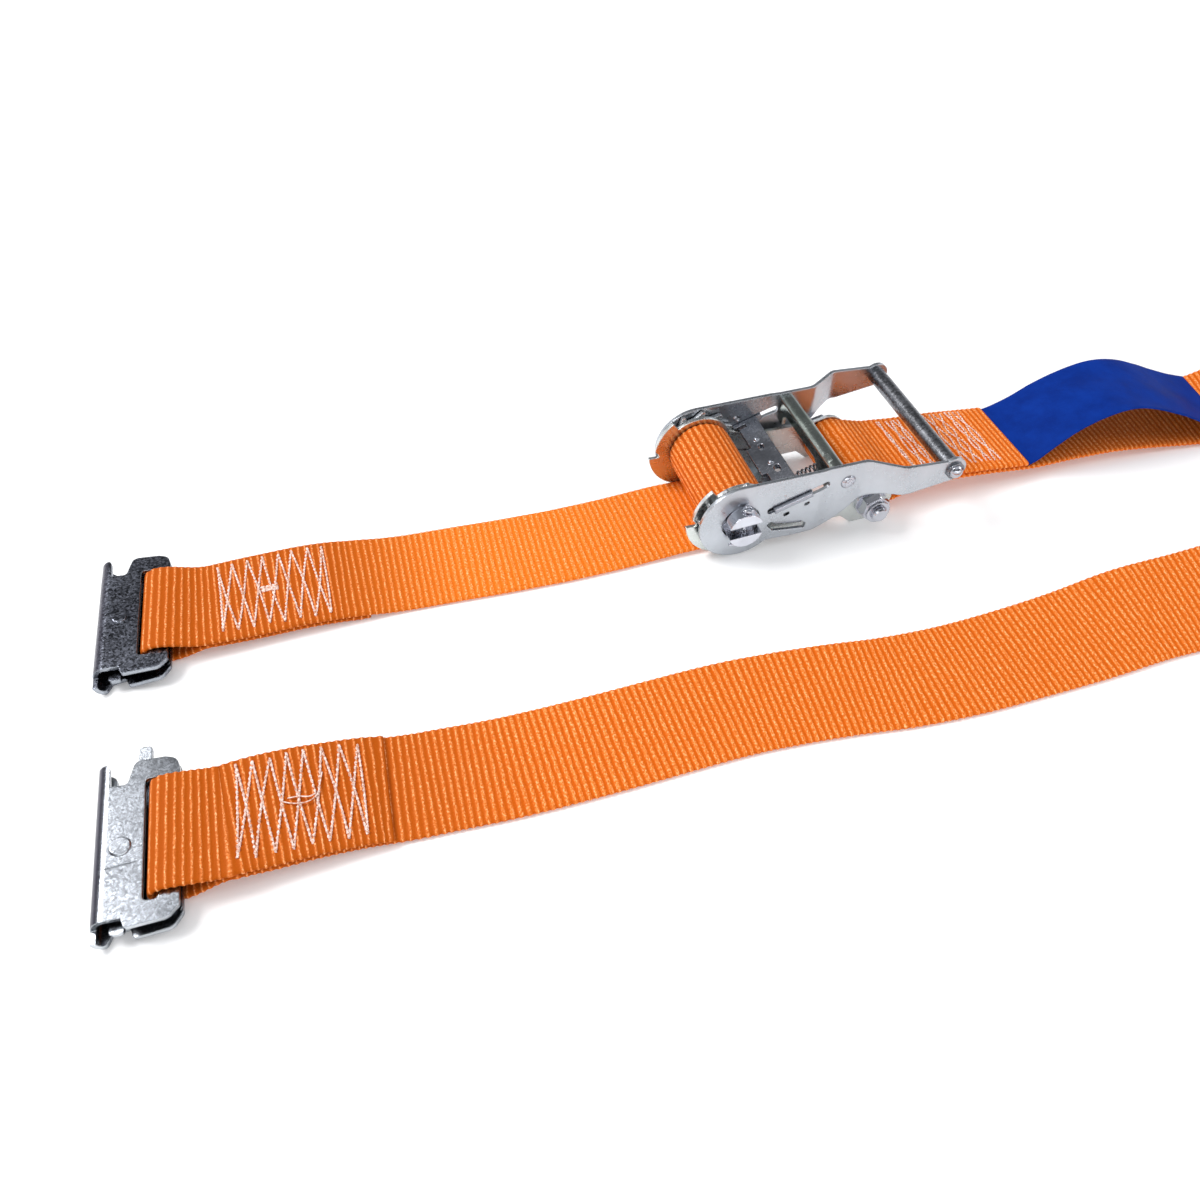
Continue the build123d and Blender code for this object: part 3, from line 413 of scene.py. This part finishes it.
ACROSS = [(-24.5, 0.0), (-24.35, 0.45), (-23.7, 0.85), (-22.2, 1.0), (-18, 1.0), (-13, 1.0), (-8, 1.0), (-3, 1.0), (3, 1.0), (8, 1.0), (13, 1.0),
          (18, 1.0), (22.2, 1.0), (23.7, 0.85), (24.35, 0.45), (24.5, 0.0)]


def web_strip(name, path, side, mat, t=T, width=2 * HW, amp=0.24, v0=0.0, step=0.5, scallop=0.34, wander=0.30, taper=None):
    """Webbing along path (N, 3) with side vectors (N, 3), both in layout mm.

    The ribs are real waves on both faces and small steps along the edges."""
    rows = np.concatenate([np.array(path, float), np.array(side, float)], 1)
    rows, q, length = resample(rows, step)
    P, S = rows[:, :3], rows[:, 3:6]
    Tn = np.gradient(P, axis=0)
    Tn /= np.linalg.norm(Tn, axis=1)[:, None]
    S = S - (S * Tn).sum(1)[:, None] * Tn
    S /= np.linalg.norm(S, axis=1)[:, None]
    N = np.cross(S, Tn)
    v = q + v0
    phase = v + 0.22 * np.sin(v * 0.137) + 0.15 * np.sin(v * 0.031 + 1.0)
    rib = 0.5 - 0.5 * np.cos(2 * math.pi * phase / RIB)
    low = np.sin(v * 0.043 + v0) * wander + np.sin(v * 0.017 + 2.0 + v0) * wander
    ring_top = ACROSS
    ring_bot = [(a, -n) for a, n in reversed(ACROSS[1:-1])]
    ring = ring_top + ring_bot
    k = len(ring)
    verts, uvs = [], []
    scale = width / (2 * HW)
    core = t / 2 - amp
    # a cut end that was pressed thin by its stitching
    thin = np.ones(len(P)) if taper is None else np.interp(q, [0.0, 1.2, taper], [0.42, 0.55, 1.0])
    for i in range(len(P)):
        C = P[i] - N[i] * core * (1 - thin[i])
        for a, n in ring:
            aa = a * scale
            if abs(n) < 0.9:
                aa -= math.copysign(scallop * (1 - rib[i]), a)
            aa += low[i] * 0.6
            nn = n * (core + amp * rib[i]) * thin[i]
            verts.append(W(C + S[i] * aa + N[i] * nn))
            uvs.append(((a + 30) / 100.0, phase[i] / 100.0))
    faces = []
    m = len(P)
    for i in range(m - 1):
        b0, b1 = i * k, (i + 1) * k
        for j in range(k):
            j2 = (j + 1) % k
            faces.append((b0 + j, b1 + j, b1 + j2, b0 + j2))
    faces.append(tuple(range(k)))
    faces.append(tuple(reversed(range((m - 1) * k, m * k))))
    o = new_mesh(name, verts, faces, mat, uvs)
    bm = bmesh.new()
    bm.from_mesh(o.data)
    bmesh.ops.recalc_face_normals(bm, faces=bm.faces)
    bm.to_mesh(o.data)
    bm.free()
    return o, length


def tube(name, pts, r, mat, sides=6, closed_ends=True, verts=None, faces=None):
    """Round bar along points (layout mm); with verts and faces given it is added to them."""
    own = verts is None
    if own:
        verts, faces = [], []
    P = np.array(pts, float)
    Tn = np.gradient(P, axis=0)
    Tn /= np.maximum(np.linalg.norm(Tn, axis=1)[:, None], 1e-9)
    ref = np.array([0.31, 0.22, 0.93])
    base = len(verts)
    prev = None
    for i in range(len(P)):
        if prev is None:
            a = np.cross(Tn[i], ref)
        else:
            a = prev - Tn[i] * (prev @ Tn[i])
        a /= np.linalg.norm(a)
        prev = a
        b = np.cross(Tn[i], a)
        rr = r[i] if hasattr(r, "__len__") else r
        for j in range(sides):
            th = 2 * math.pi * j / sides
            verts.append(W(P[i] + (a * math.cos(th) + b * math.sin(th)) * rr))
    for i in range(len(P) - 1):
        for j in range(sides):
            j2 = (j + 1) % sides
            faces.append((base + i * sides + j, base + i * sides + j2, base + (i + 1) * sides + j2, base + (i + 1) * sides + j))
    if closed_ends:
        faces.append(tuple(base + j for j in reversed(range(sides))))
        faces.append(tuple(base + (len(P) - 1) * sides + j for j in range(sides)))
    if own:
        return new_mesh(name, verts, faces, mat)


# ------------------------------------------------------------------ webbing
def fit_point(k, a, z, b=None):
    x, y, h = FIT[k]
    cr, sr = math.cos(math.radians(ROLL[k])), math.sin(math.radians(ROLL[k]))
    bb = SLOT_B[k] if b is None else b
    bb, z = ROLL_B + (bb - ROLL_B) * cr - z * sr, (bb - ROLL_B) * sr + z * cr
    c, s = math.cos(math.radians(h)), math.sin(math.radians(h))
    return (x + a * c - bb * s, y + a * s + bb * c, z)


def fit_side(k):
    h, r = math.radians(FIT[k][2]), math.radians(ROLL[k])
    return (-math.sin(h) * math.cos(r), math.cos(h) * math.cos(r), math.sin(r))


# loop round a fitting's bar, as (a, z) of the webbing's middle, from the run's
# top layer over the bar, down through the slot and back underneath
LOOP = {
    1: [(48.5, 7.1), (45.5, 7.25), (42.0, 7.8), (37.7, 9.0), (34.5, 10.0), (31.4, 10.75), (28.0, 11.2), (24.9, 11.1), (22.6, 10.1),
        (20.8, 8.5), (20.8, 6.0), (21.4, 3.4), (23.3, 1.7), (26.0, 1.25), (31.5, 1.25), (36.5, 1.95), (41.5, 3.4), (45.5, 4.5), (48.5, 4.75)],
    2: [(48.5, 9.5), (45.5, 9.65), (42.5, 9.85), (37.8, 10.6), (32.5, 11.25), (28.0, 11.6), (24.8, 11.35), (22.5, 10.3),
        (20.8, 8.6), (20.8, 6.0), (21.4, 3.4), (23.3, 1.7), (26.0, 1.25), (31.3, 1.35), (36.3, 2.8), (41.4, 5.2), (45.5, 6.8), (48.5, 7.15)]}


def loop_rows(k, over=True):
    pts = LOOP[k] if over else LOOP[k][::-1]
    s = fit_side(k)
    return [(*fit_point(k, a, z, SLOT_B[k] + 0.36 * (max(0.0, a - 33.0) / 15.5) ** 2), *s) for a, z in pts]


def ribbon_rows(rows, lift=0.0, t=T):
    """(x, y, z low, twist) rows to centre points and side vectors (left of +X travel)."""
    out = []
    for i, (x, y, z, tw) in enumerate(rows):
        a, b = rows[max(i - 1, 0)], rows[min(i + 1, len(rows) - 1)]
        h = math.atan2(b[1] - a[1], b[0] - a[0])
        c, s = math.cos(math.radians(tw)), math.sin(math.radians(tw))
        sv = (-math.sin(h) * c, math.cos(h) * c, s)
        out.append((x, y, z + abs(s) * HW + abs(c) * t / 2 + lift, *sv))
    return out


def strip_from_rows(name, rows, mat, **kw):
    fine = catmull(rows, 10)
    return web_strip(name, fine[:, :3], fine[:, 3:6], mat, **kw)


# adjustable strap: cut end underneath, round fitting 1, then on to the mandrel
pair1 = [(-234.5, 5.30, 3.0, 0.8), (-226, 5.38, 2.4, 1.6), (-216, 5.48, 1.95, 2.0), (-200, 5.5, 1.75, 2.0), (-187, 5.4, 0.85, 1.8), (-178, 5.1, 0.1, 1.0)]
single1 = [(-171.5, 4.95, 1.75, 0.8), (-164, 4.7, 0.7, 0.5), (-156, 4.3, 0.2, 0.2), (-148, 3.9, 0, 0), (-128, 2.7, 0, 0), (-108, 1.2, 0, 0), (-92, 0.3, 0, 0),
           (-79, -0.4, 0.05, 0), (-62, -0.6, 0.1, 0), (-50, -0.5, 0.15, 0), (-34, -0.1, 0.5, 0), (-24.5, 0, 0.9, 0), (-12, 0, 0.9, 0), (-2.0, 0, 0.9, 0)]
under = ribbon_rows([(r[0], r[1], r[2], r[3]) for r in pair1] + [(-172.8, 5.0, 0.02, 0.6)])[::-1]
over = ribbon_rows([(r[0], r[1], r[2] + T + 0.03, r[3]) for r in pair1] + single1)
rows = under + loop_rows(1, over=False) + over
adj, len_adj = strip_from_rows("adjustable_web", rows, WEB, v0=0.0, amp=0.17, scallop=0.18)

# fixed strap: cut end on top, round fitting 2, along, turned on its edge, back
# to the ratchet, round the bolt's spacer and over itself to the second cut end
pair2 = [(-235, -112.75, 5.4, 3.8), (-227, -112.58, 4.4, 5.0), (-215, -112.25, 3.6, 4.5), (-205, -112.05, 2.6, 3.6), (-195, -112.05, 1.55, 2.8), (-186, -112.35, 0.6, 2.0)]
low_path = pair2 + [
    (-178, -113.0, 0.2, 1.5), (-170, -113.6, 0.05, 1.0), (-158, -114.2, 0, 0.5), (-133, -115.6, 0, 0),
    (-96, -116.0, 0, 0), (-43, -115.8, 0, 0), (-17, -117.2, 0, 0), (10, -120.0, 0, 0), (36, -123.8, 0, 0), (64, -126.0, 0, 0), (93, -126.5, 0, 1.0),
    (124, -126.4, 0, 4.5), (156, -125.2, 0, 10.0), (190, -126.0, 0, 13.0)]
turn_path = [
    (226, -126.6, 0, 18.0), (262, -126.8, 0, 26.0), (300, -125.6, 0, 38.0), (340, -121.0, 0, 54.0), (378, -106.5, 0, 72.0), (396, -84.0, 0, 84.0), (400, -62.0, 0, 90.0),
    (394, -41.0, 0, 97.0), (374, -22.5, 0, 111.0), (346, -14.0, 0, 134.0), (314, -10.4, 0, 158.0), (283, -8.0, 0, 172.5)]
up_path = [(262, -5.4, 0.9, 177.5), (240, -2.8, 2.6, 180.0), (215, -0.7, 4.2, 180.0), (190, 0, 4.6, 180.0), (168, 0, 4.6, 180.0)]
main = ribbon_rows(low_path + turn_path + up_path)
top2 = ribbon_rows([(r[0], r[1], r[2] + T + 0.03, r[3]) for r in pair2] + [(-181.5, -112.7, 0.42 + T, 1.7)])[::-1]
end_under = [(156, 0, 7.0), (143, 0, 8.8), (124, 0, 10.8), (109, 0, 11.5), (98, 0, 10.9), (90, 0, 8.4)]
BX, BZ, BR = 70.0, 12.0, 10.5
ARC = [(BX + BR * math.cos(math.radians(a)), 0, BZ + BR * math.sin(math.radians(a))) for a in range(-52, -300, -20)]
end_over = [(88.0, 0, 17.2), (95, 0, 16.1), (109, 0, 14.4), (124, 0, 13.4), (143, 0, 11.2), (155, 0, 9.7), (161.5, 0, 8.95)]
tail = [(*p, 0, 1, 0) for p in end_under + ARC + end_over]
rows = top2 + loop_rows(2) + main + tail
fixed, len_fixed = strip_from_rows("fixed_web", rows, WEB, v0=3000.0, amp=0.28, taper=7.0)

# roll on the mandrel, from the outer end at the bottom inwards
turns = 2.85
ang = np.radians(np.linspace(-96, -96 + 360 * turns, int(60 * turns)))
rad = 15.95 - 2.38 * (ang - ang[0]) / (2 * math.pi)
roll_path = np.stack([rad * np.cos(ang), np.zeros_like(ang), 21 + rad * np.sin(ang)], 1)
roll_side = np.tile([0.0, 1.0, 0.0], (len(ang), 1))
roll_path[:, 1] += 0.25 * np.sin(ang * 0.5 + 0.6)
roll, len_roll = web_strip("mandrel_web", roll_path, roll_side, WEB, v0=1500.0, step=0.5, wander=0.05)

# ------------------------------------------------------------------ label
near = catmull([(161.9, 7.9), (167.0, 10.4), (174.5, 16.4), (184, 23.2), (195, 28.2), (207, 30.6), (219, 30.4), (232, 27.6), (246, 22.4), (259, 15.8), (271, 9.4), (283, 4.4)], 12)
far = catmull([(161.9, 7.9), (169, 9.6), (179, 13.2), (190, 18.8), (202, 23.4), (214, 25.8), (227, 26.2), (240, 24.4), (252, 20.4), (262, 16.0), (273, 11.8), (284, 8.8)], 12)


def label_mesh():
    n, k = 90, 24
    def along(c):
        d = np.concatenate([[0], np.cumsum(np.linalg.norm(np.diff(c, axis=0), axis=1))])
        q = np.linspace(0, d[-1], n + 1)
        return np.stack([np.interp(q, d, c[:, 0]), np.interp(q, d, c[:, 1])], 1), d[-1]
    A, la = along(near)
    B, lb = along(far)
    length = (la + lb) / 2
    verts, uvs, faces = [], [], []
    grid = np.zeros((n + 1, k + 1, 3))
    for i in range(n + 1):
        t = i / n
        bend = -8.6 * max(0.0, (A[i, 0] - 215) / 68.0) ** 1.5 if A[i, 0] > 215 else 0.0
        for j in range(k + 1):
            s = j / k
            x, z = A[i] * (1 - s) + B[i] * s
            y = -23.7 + 47.4 * s + bend
            z += 0.35 * math.sin(t * 17 + s * 5) * math.sin(math.pi * t) + 0.25 * math.sin(s * 11 + t * 6) * math.sin(math.pi * t)
            grid[i, j] = (x, y, z)
    du = np.gradient(grid, axis=0)
    dv = np.gradient(grid, axis=1)
    nor = np.cross(du, dv)
    nor /= np.linalg.norm(nor, axis=2)[:, :, None]
    for side in (1, -1):
        for i in range(n + 1):
            for j in range(k + 1):
                verts.append(W(grid[i, j] + nor[i, j] * side * 0.28))
                uvs.append(((j / k * 47.4) / 100.0, (i / n * length) / 100.0))
    m = (n + 1) * (k + 1)
    for i in range(n):
        for j in range(k):
            a = i * (k + 1) + j
            q = (a, a + k + 1, a + k + 2, a + 1)
            faces.append(q)
            faces.append(tuple(m + x for x in reversed(q)))
    edge = [(i * (k + 1), (i + 1) * (k + 1)) for i in range(n)]
    edge += [(n * (k + 1) + j, n * (k + 1) + j + 1) for j in range(k)]
    edge += [((i + 1) * (k + 1) + k, i * (k + 1) + k) for i in reversed(range(n))]
    edge += [(j + 1, j) for j in reversed(range(k))]
    for a, b in edge:
        faces.append((a, m + a, m + b, b))
    o = new_mesh("label_sheet", verts, faces, LABEL, uvs)
    bm = bmesh.new()
    bm.from_mesh(o.data)
    bmesh.ops.recalc_face_normals(bm, faces=bm.faces)
    bm.to_mesh(o.data)
    bm.free()
    return o, length


label, len_label = label_mesh()


# ------------------------------------------------------------------ stitches
def thread_line(pts, verts, faces, lift=0.66, r=0.36, stitch=2.3):
    """Sewn thread: short raised stitches of two twisted plies along points on the surface."""
    P = catmull(pts, 8) if len(pts) > 2 else np.array(pts, float)
    P, q, length = resample(P, 0.45)
    Tn = np.gradient(P, axis=0)
    Tn /= np.linalg.norm(Tn, axis=1)[:, None]
    up = np.array([0, 0, 1.0])
    Sd = np.cross(Tn, up)
    Sd /= np.linalg.norm(Sd, axis=1)[:, None]
    dip = 1.0 - np.abs(np.cos(q * math.pi / stitch)) ** 3
    for ply in (0, 1):
        ph = q * 2 * math.pi / stitch + ply * math.pi
        C = P + Sd * (0.24 * np.cos(ph))[:, None] + up * (lift * dip - 0.36 + 0.10 * np.sin(ph))[:, None]
        tube("x", C, r * (0.75 + 0.25 * dip), None, sides=5, verts=verts, faces=faces)


def stitch_block(name, corners, cols, zfun, jitter=0.5, tack=None, tails=()):
    """Two interleaved zigzags between a near and a far row.

    corners: (x near first, y near first), (x near last, y near last), far first, far last."""
    (n0, n1, f0, f1) = [np.array(c, float) for c in corners]
    near_pts = [n0 + (n1 - n0) * i / (cols - 1) + rng.normal(0, jitter, 2) * (0.6, 0.9) for i in range(cols)]
    far_pts = [f0 + (f1 - f0) * i / (cols - 1) + rng.normal(0, jitter, 2) * (0.6, 0.9) for i in range(cols)]
    verts, faces = [], []

    def seg(p, q, bow):
        d = q - p
        nrm = np.array([-d[1], d[0]]) / np.linalg.norm(d)
        pts = []
        for t in np.linspace(0, 1, 7):
            xy = p + d * t + nrm * bow * math.sin(math.pi * t)
            pts.append((xy[0], xy[1], zfun(xy[0], xy[1])))
        thread_line(pts, verts, faces)

    for start in (0, 1):
        for i in range(cols - 1):
            far_first = (i + start) % 2 == 0
            p = far_pts[i] if far_first else near_pts[i]
            q = near_pts[i + 1] if far_first else far_pts[i + 1]
            seg(p, q, rng.normal(0, 0.5))
    seg(far_pts[0] + (0.2, -0.4), near_pts[0], 0.3)
    seg(far_pts[-1], near_pts[-1] + (0.3, 0.4), 0.4)
    if tack:
        cx, cy, lx, ly = tack
        for i in range(14):
            a = np.array([cx - lx / 2 + rng.uniform(0, 1.2), cy + rng.uniform(-ly / 2, ly / 2)])
            b = np.array([cx + lx / 2 - rng.uniform(0, 1.2), cy + rng.uniform(-ly / 2, ly / 2)])
            pts = [(a[0] + (b[0] - a[0]) * t, a[1] + (b[1] - a[1]) * t + 0.3 * math.sin(t * 6 + i), zfun(cx, cy) + 0.15) for t in np.linspace(0, 1, 5)]
            thread_line(pts, verts, faces, lift=0.25, r=0.24)
    for t in tails:
        P = catmull(t, 10)
        tube("x", P, 0.26, None, sides=5, verts=verts, faces=faces)
    return new_mesh(name, verts, faces, THREAD)


def pair_top(rows):
    xs = [r[0] for r in rows]

    def f(x, y):
        yc = float(np.interp(x, xs, [r[1] for r in rows]))
        zl = float(np.interp(x, xs, [r[2] for r in rows]))
        tw = math.radians(float(np.interp(x, xs, [r[3] for r in rows])))
        return zl + 2 * T + 0.05 + math.sin(tw) * (y - (yc - HW))
    return f


top_1 = pair_top([(-241.6, 5.07, 3.6, 0)] + pair1)
top_2 = pair_top([(-242.7, -113.0, 6.35, 2.2)] + pair2)
st1 = stitch_block("stitches_adjustable", [(-236.5, -14.3), (-190.0, -15.9), (-235.6, 26.3), (-188.0, 27.2)], 8, top_1,
                   tack=(-214.5, 6.4, 8.5, 3.2))
st2 = stitch_block("stitches_fixed", [(-239.5, -132.2), (-192.9, -132.2), (-236.7, -90.6), (-190.0, -91.0)], 8, top_2,
                   tails=[[(x, y, top_2(x, y) + dz) for x, y, dz in ((-221, -112, 0.2), (-217, -114, 0.8), (-212, -114.5, 1.1), (-208, -112, 0.9), (-206.5, -107.5, 0.7), (-205, -102, 0.2))],
                          [(x, y, top_2(x, y) + dz) for x, y, dz in ((-219, -111, 0.4), (-215, -111.6, 1.1), (-211, -112.6, 1.4), (-208.6, -111.4, 1.0))]])


def end_z(x, y):
    return float(np.interp(x, [84, 95, 109, 124, 143, 156, 168], [19.5, 17.35, 15.65, 14.65, 12.45, 10.65, 8.85]))




def stitch_columns(name, cols, zfun):
    """Rows of small stitches straight across the webbing, each row two threads that cross.

    cols: (x at the far edge, x at the near edge, far y, near y, half width, crossings)"""
    verts, faces = [], []
    for xf, xn, yf, yn, half, cross in cols:
        for sg in (-1, 1):
            pts = []
            for t in np.linspace(0, 1, 6 * cross + 1):
                off = sg * half * math.cos(math.pi * cross * t) + rng.normal(0, 0.12)
                x, y = xf + (xn - xf) * t + off, yf + (yn - yf) * t
                pts.append((x, y, zfun(x, y)))
            thread_line(pts, verts, faces, lift=0.62, r=0.27, stitch=1.8)
    return new_mesh(name, verts, faces, THREAD)


st3 = stitch_columns("stitches_ratchet_end", [
    (97.8, 99.2, 21.3, -18.6, 0.7, 3), (104.0, 105.4, 21.0, -18.9, 1.5, 2), (108.6, 110.2, 21.4, -18.4, 1.2, 3)], end_z)
st4 = stitch_columns("stitches_ratchet_end_2", [
    (127.0, 128.6, 22.0, -18.9, 1.9, 2), (133.2, 134.6, 21.6, -19.2, 1.9, 3), (139.6, 140.6, 22.2, -18.7, 1.3, 3), (144.6, 146.0, 21.8, -19.0, 1.6, 2)], end_z)

# ------------------------------------------------------------------ springs


def coil(name, p0, p1, radius, wire, turns, mat, closed=1.0):
    p0, p1 = np.array(p0, float), np.array(p1, float)
    d = p1 - p0
    L = np.linalg.norm(d)
    d /= L
    a = np.cross(d, (0, 1, 0))
    a /= np.linalg.norm(a)
    b = np.cross(d, a)
    n = int(turns * 22)
    pts = []
    for i in range(n + 1):
        t = i / n
        th = 2 * math.pi * turns * t
        s = wire + (L - 2 * wire) * t
        pts.append(p0 + d * s + (a * math.cos(th) + b * math.sin(th)) * (radius - wire))
    return tube(name, pts, wire, mat, sides=8)


DPA = math.radians(17.5)
LPA = math.radians(-11.5)
q0 = (24.5 + 8.0 * math.cos(DPA) + 0.6 * math.sin(DPA), -18.0, 27.0 + 8.0 * math.sin(DPA) - 0.6 * math.cos(DPA))
sl = (44.4 - q0[0]) / math.cos(DPA) - 1.15
q1 = (q0[0] + sl * math.cos(DPA), -18.0, q0[2] + sl * math.sin(DPA))
dspring = coil("drive_pawl_coil", q0, q1, 2.7, 0.5, 5, MATS["spring_steel"])
p0 = (23.5 + 10.5 * math.cos(LPA), 0.0, 13.0 + 10.5 * math.sin(LPA))
ll = (42.2 - p0[0]) / math.cos(LPA) - 0.75
p1 = (p0[0] + ll * math.cos(LPA), 0.0, p0[2] + ll * math.sin(LPA))
lspring = coil("lock_pawl_coil", p0, p1, 2.9, 0.5, 6, MATS["spring_steel"])


def latch_spring(k):
    pts = []
    for i in range(70):
        th = 2 * math.pi * 2.25 * i / 69
        x, y, zz = fit_point(k, 10.2 + 2.85 * math.cos(th), 7.15 + 0.75 * i / 69, -2.2 + 2.85 * math.sin(th))
        pts.append((x, y, zz))
    th = 2 * math.pi * 2.25
    for j in range(1, 12):
        x, y, zz = fit_point(k, 10.2 + 2.85 * math.cos(th) - 0.28 * j, 7.9, -2.2 + 2.85 * math.sin(th) - 1.35 * j)
        pts.append((x, y, zz))
    return tube("fitting_%d_latch_coil" % k, pts, 0.4, MATS["spring_steel"], sides=7)


ls = {k: latch_spring(k) for k in (1, 2)}

# ------------------------------------------------------------------ ride, replace
def blend_at(o):
    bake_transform(o)


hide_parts("adjustable_strap", "fitting_1_strap_loop")
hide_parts("fixed_strap_lower", "fixed_strap_turn", "fixed_strap_upper", "fixed_strap_ratchet_end", "fitting_2_strap_loop")
blend_at(adj)
blend_at(fixed)
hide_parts("webbing_roll")
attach(roll, "mandrel")
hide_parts("strap_label")
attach(label, "frame")
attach(st1, "frame")
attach(st2, "frame")
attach(st3, "frame")
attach(st4, "frame")
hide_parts("drive_pawl_spring")
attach(dspring, "handle")
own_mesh(dspring)
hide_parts("lock_pawl_spring")
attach(lspring, "frame")
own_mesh(lspring)
for k in (1, 2):
    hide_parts("fitting_%d_spring" % k)
    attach(ls[k], "fitting_%d" % k)
print("LENGTHS adjustable %.1f fixed %.1f roll %.1f label %.1f mm" % (len_adj, len_fixed, len_roll, len_label))

# ------------------------------------------------------------------ stage, lights, camera
bpy.ops.mesh.primitive_plane_add(size=8, location=(0, 0, -0.0002))
floor = bpy.context.object
floor.name = "floor"
floor.data.materials.append(floor_material("floor_pale"))

world = bpy.data.worlds.new("studio")
bpy.context.scene.world = world
world.use_nodes = True
nt = world.node_tree
nt.nodes.clear()
out = nt.nodes.new("ShaderNodeOutputWorld")
bg = nt.nodes.new("ShaderNodeBackground")
tc = nt.nodes.new("ShaderNodeTexCoord")
sep = nt.nodes.new("ShaderNodeSeparateXYZ")
ramp = nt.nodes.new("ShaderNodeValToRGB")
nt.links.new(tc.outputs["Generated"], sep.inputs[0])
nt.links.new(sep.outputs[2], ramp.inputs[0])
cr = ramp.color_ramp
cr.elements[0].position = 0.0
cr.elements[0].color = (0.95, 0.96, 0.98, 1)
cr.elements[1].position = 1.0
cr.elements[1].color = (0.85, 0.87, 0.90, 1)
for pos, val in ((0.30, 0.62), (0.48, 0.24), (0.60, 0.13), (0.74, 0.15), (0.84, 0.45), (0.92, 0.80)):
    e = cr.elements.new(pos)
    e.color = (val * 0.97, val * 0.985, val * 1.02, 1)
nt.links.new(ramp.outputs[0], bg.inputs[0])
bg.inputs[1].default_value = 1.05
nt.links.new(bg.outputs[0], out.inputs[0])


def area(name, loc, target, size, power, color=(1, 1, 1)):
    ld = bpy.data.lights.new(name, "AREA")
    ld.shape = "RECTANGLE"
    ld.size, ld.size_y = size
    ld.energy = power
    ld.color = color
    o = bpy.data.objects.new(name, ld)
    bpy.context.scene.collection.objects.link(o)
    o.location = loc
    o.rotation_euler = (Vector(target) - Vector(loc)).to_track_quat("-Z", "Y").to_euler()
    return o


area("key", (-1.10, 0.55, 1.25), (0.0, 0.0, 0.0), (0.8, 0.7), 26)
area("top", (-0.88, 0.85, 1.60), (-0.88, 0.86, 0.0), (0.62, 0.55), 1.5)
area("front", (-0.5, -1.7, 0.8), (0.0, 0.0, 0.0), (1.6, 0.7), 7.5, (0.96, 0.98, 1.0))
area("low", (0.50, -1.05, 0.34), (0.17, 0.05, 0.02), (1.2, 0.35), 2.4)
area("right", (1.5, -0.2, 1.1), (0.1, 0.0, 0.0), (1.0, 0.8), 9)

cam_data = bpy.data.cameras.new("camera")
cam_data.lens = 32.4
cam_data.sensor_width = 36.0
cam_data.clip_start = 0.01
cam = bpy.data.objects.new("camera", cam_data)
bpy.context.scene.collection.objects.link(cam)
cam.location = W((-172.73, -359.18, 366.0))
cam.rotation_euler = (math.radians(90 - 47.5), 0.0, math.radians(-17.6))
bpy.context.scene.camera = cam
bpy.context.scene.view_settings.view_transform = "Standard"
bpy.context.scene.view_settings.look = "None"
bpy.context.scene.view_settings.exposure = 0.0

bpy.context.view_layer.update()
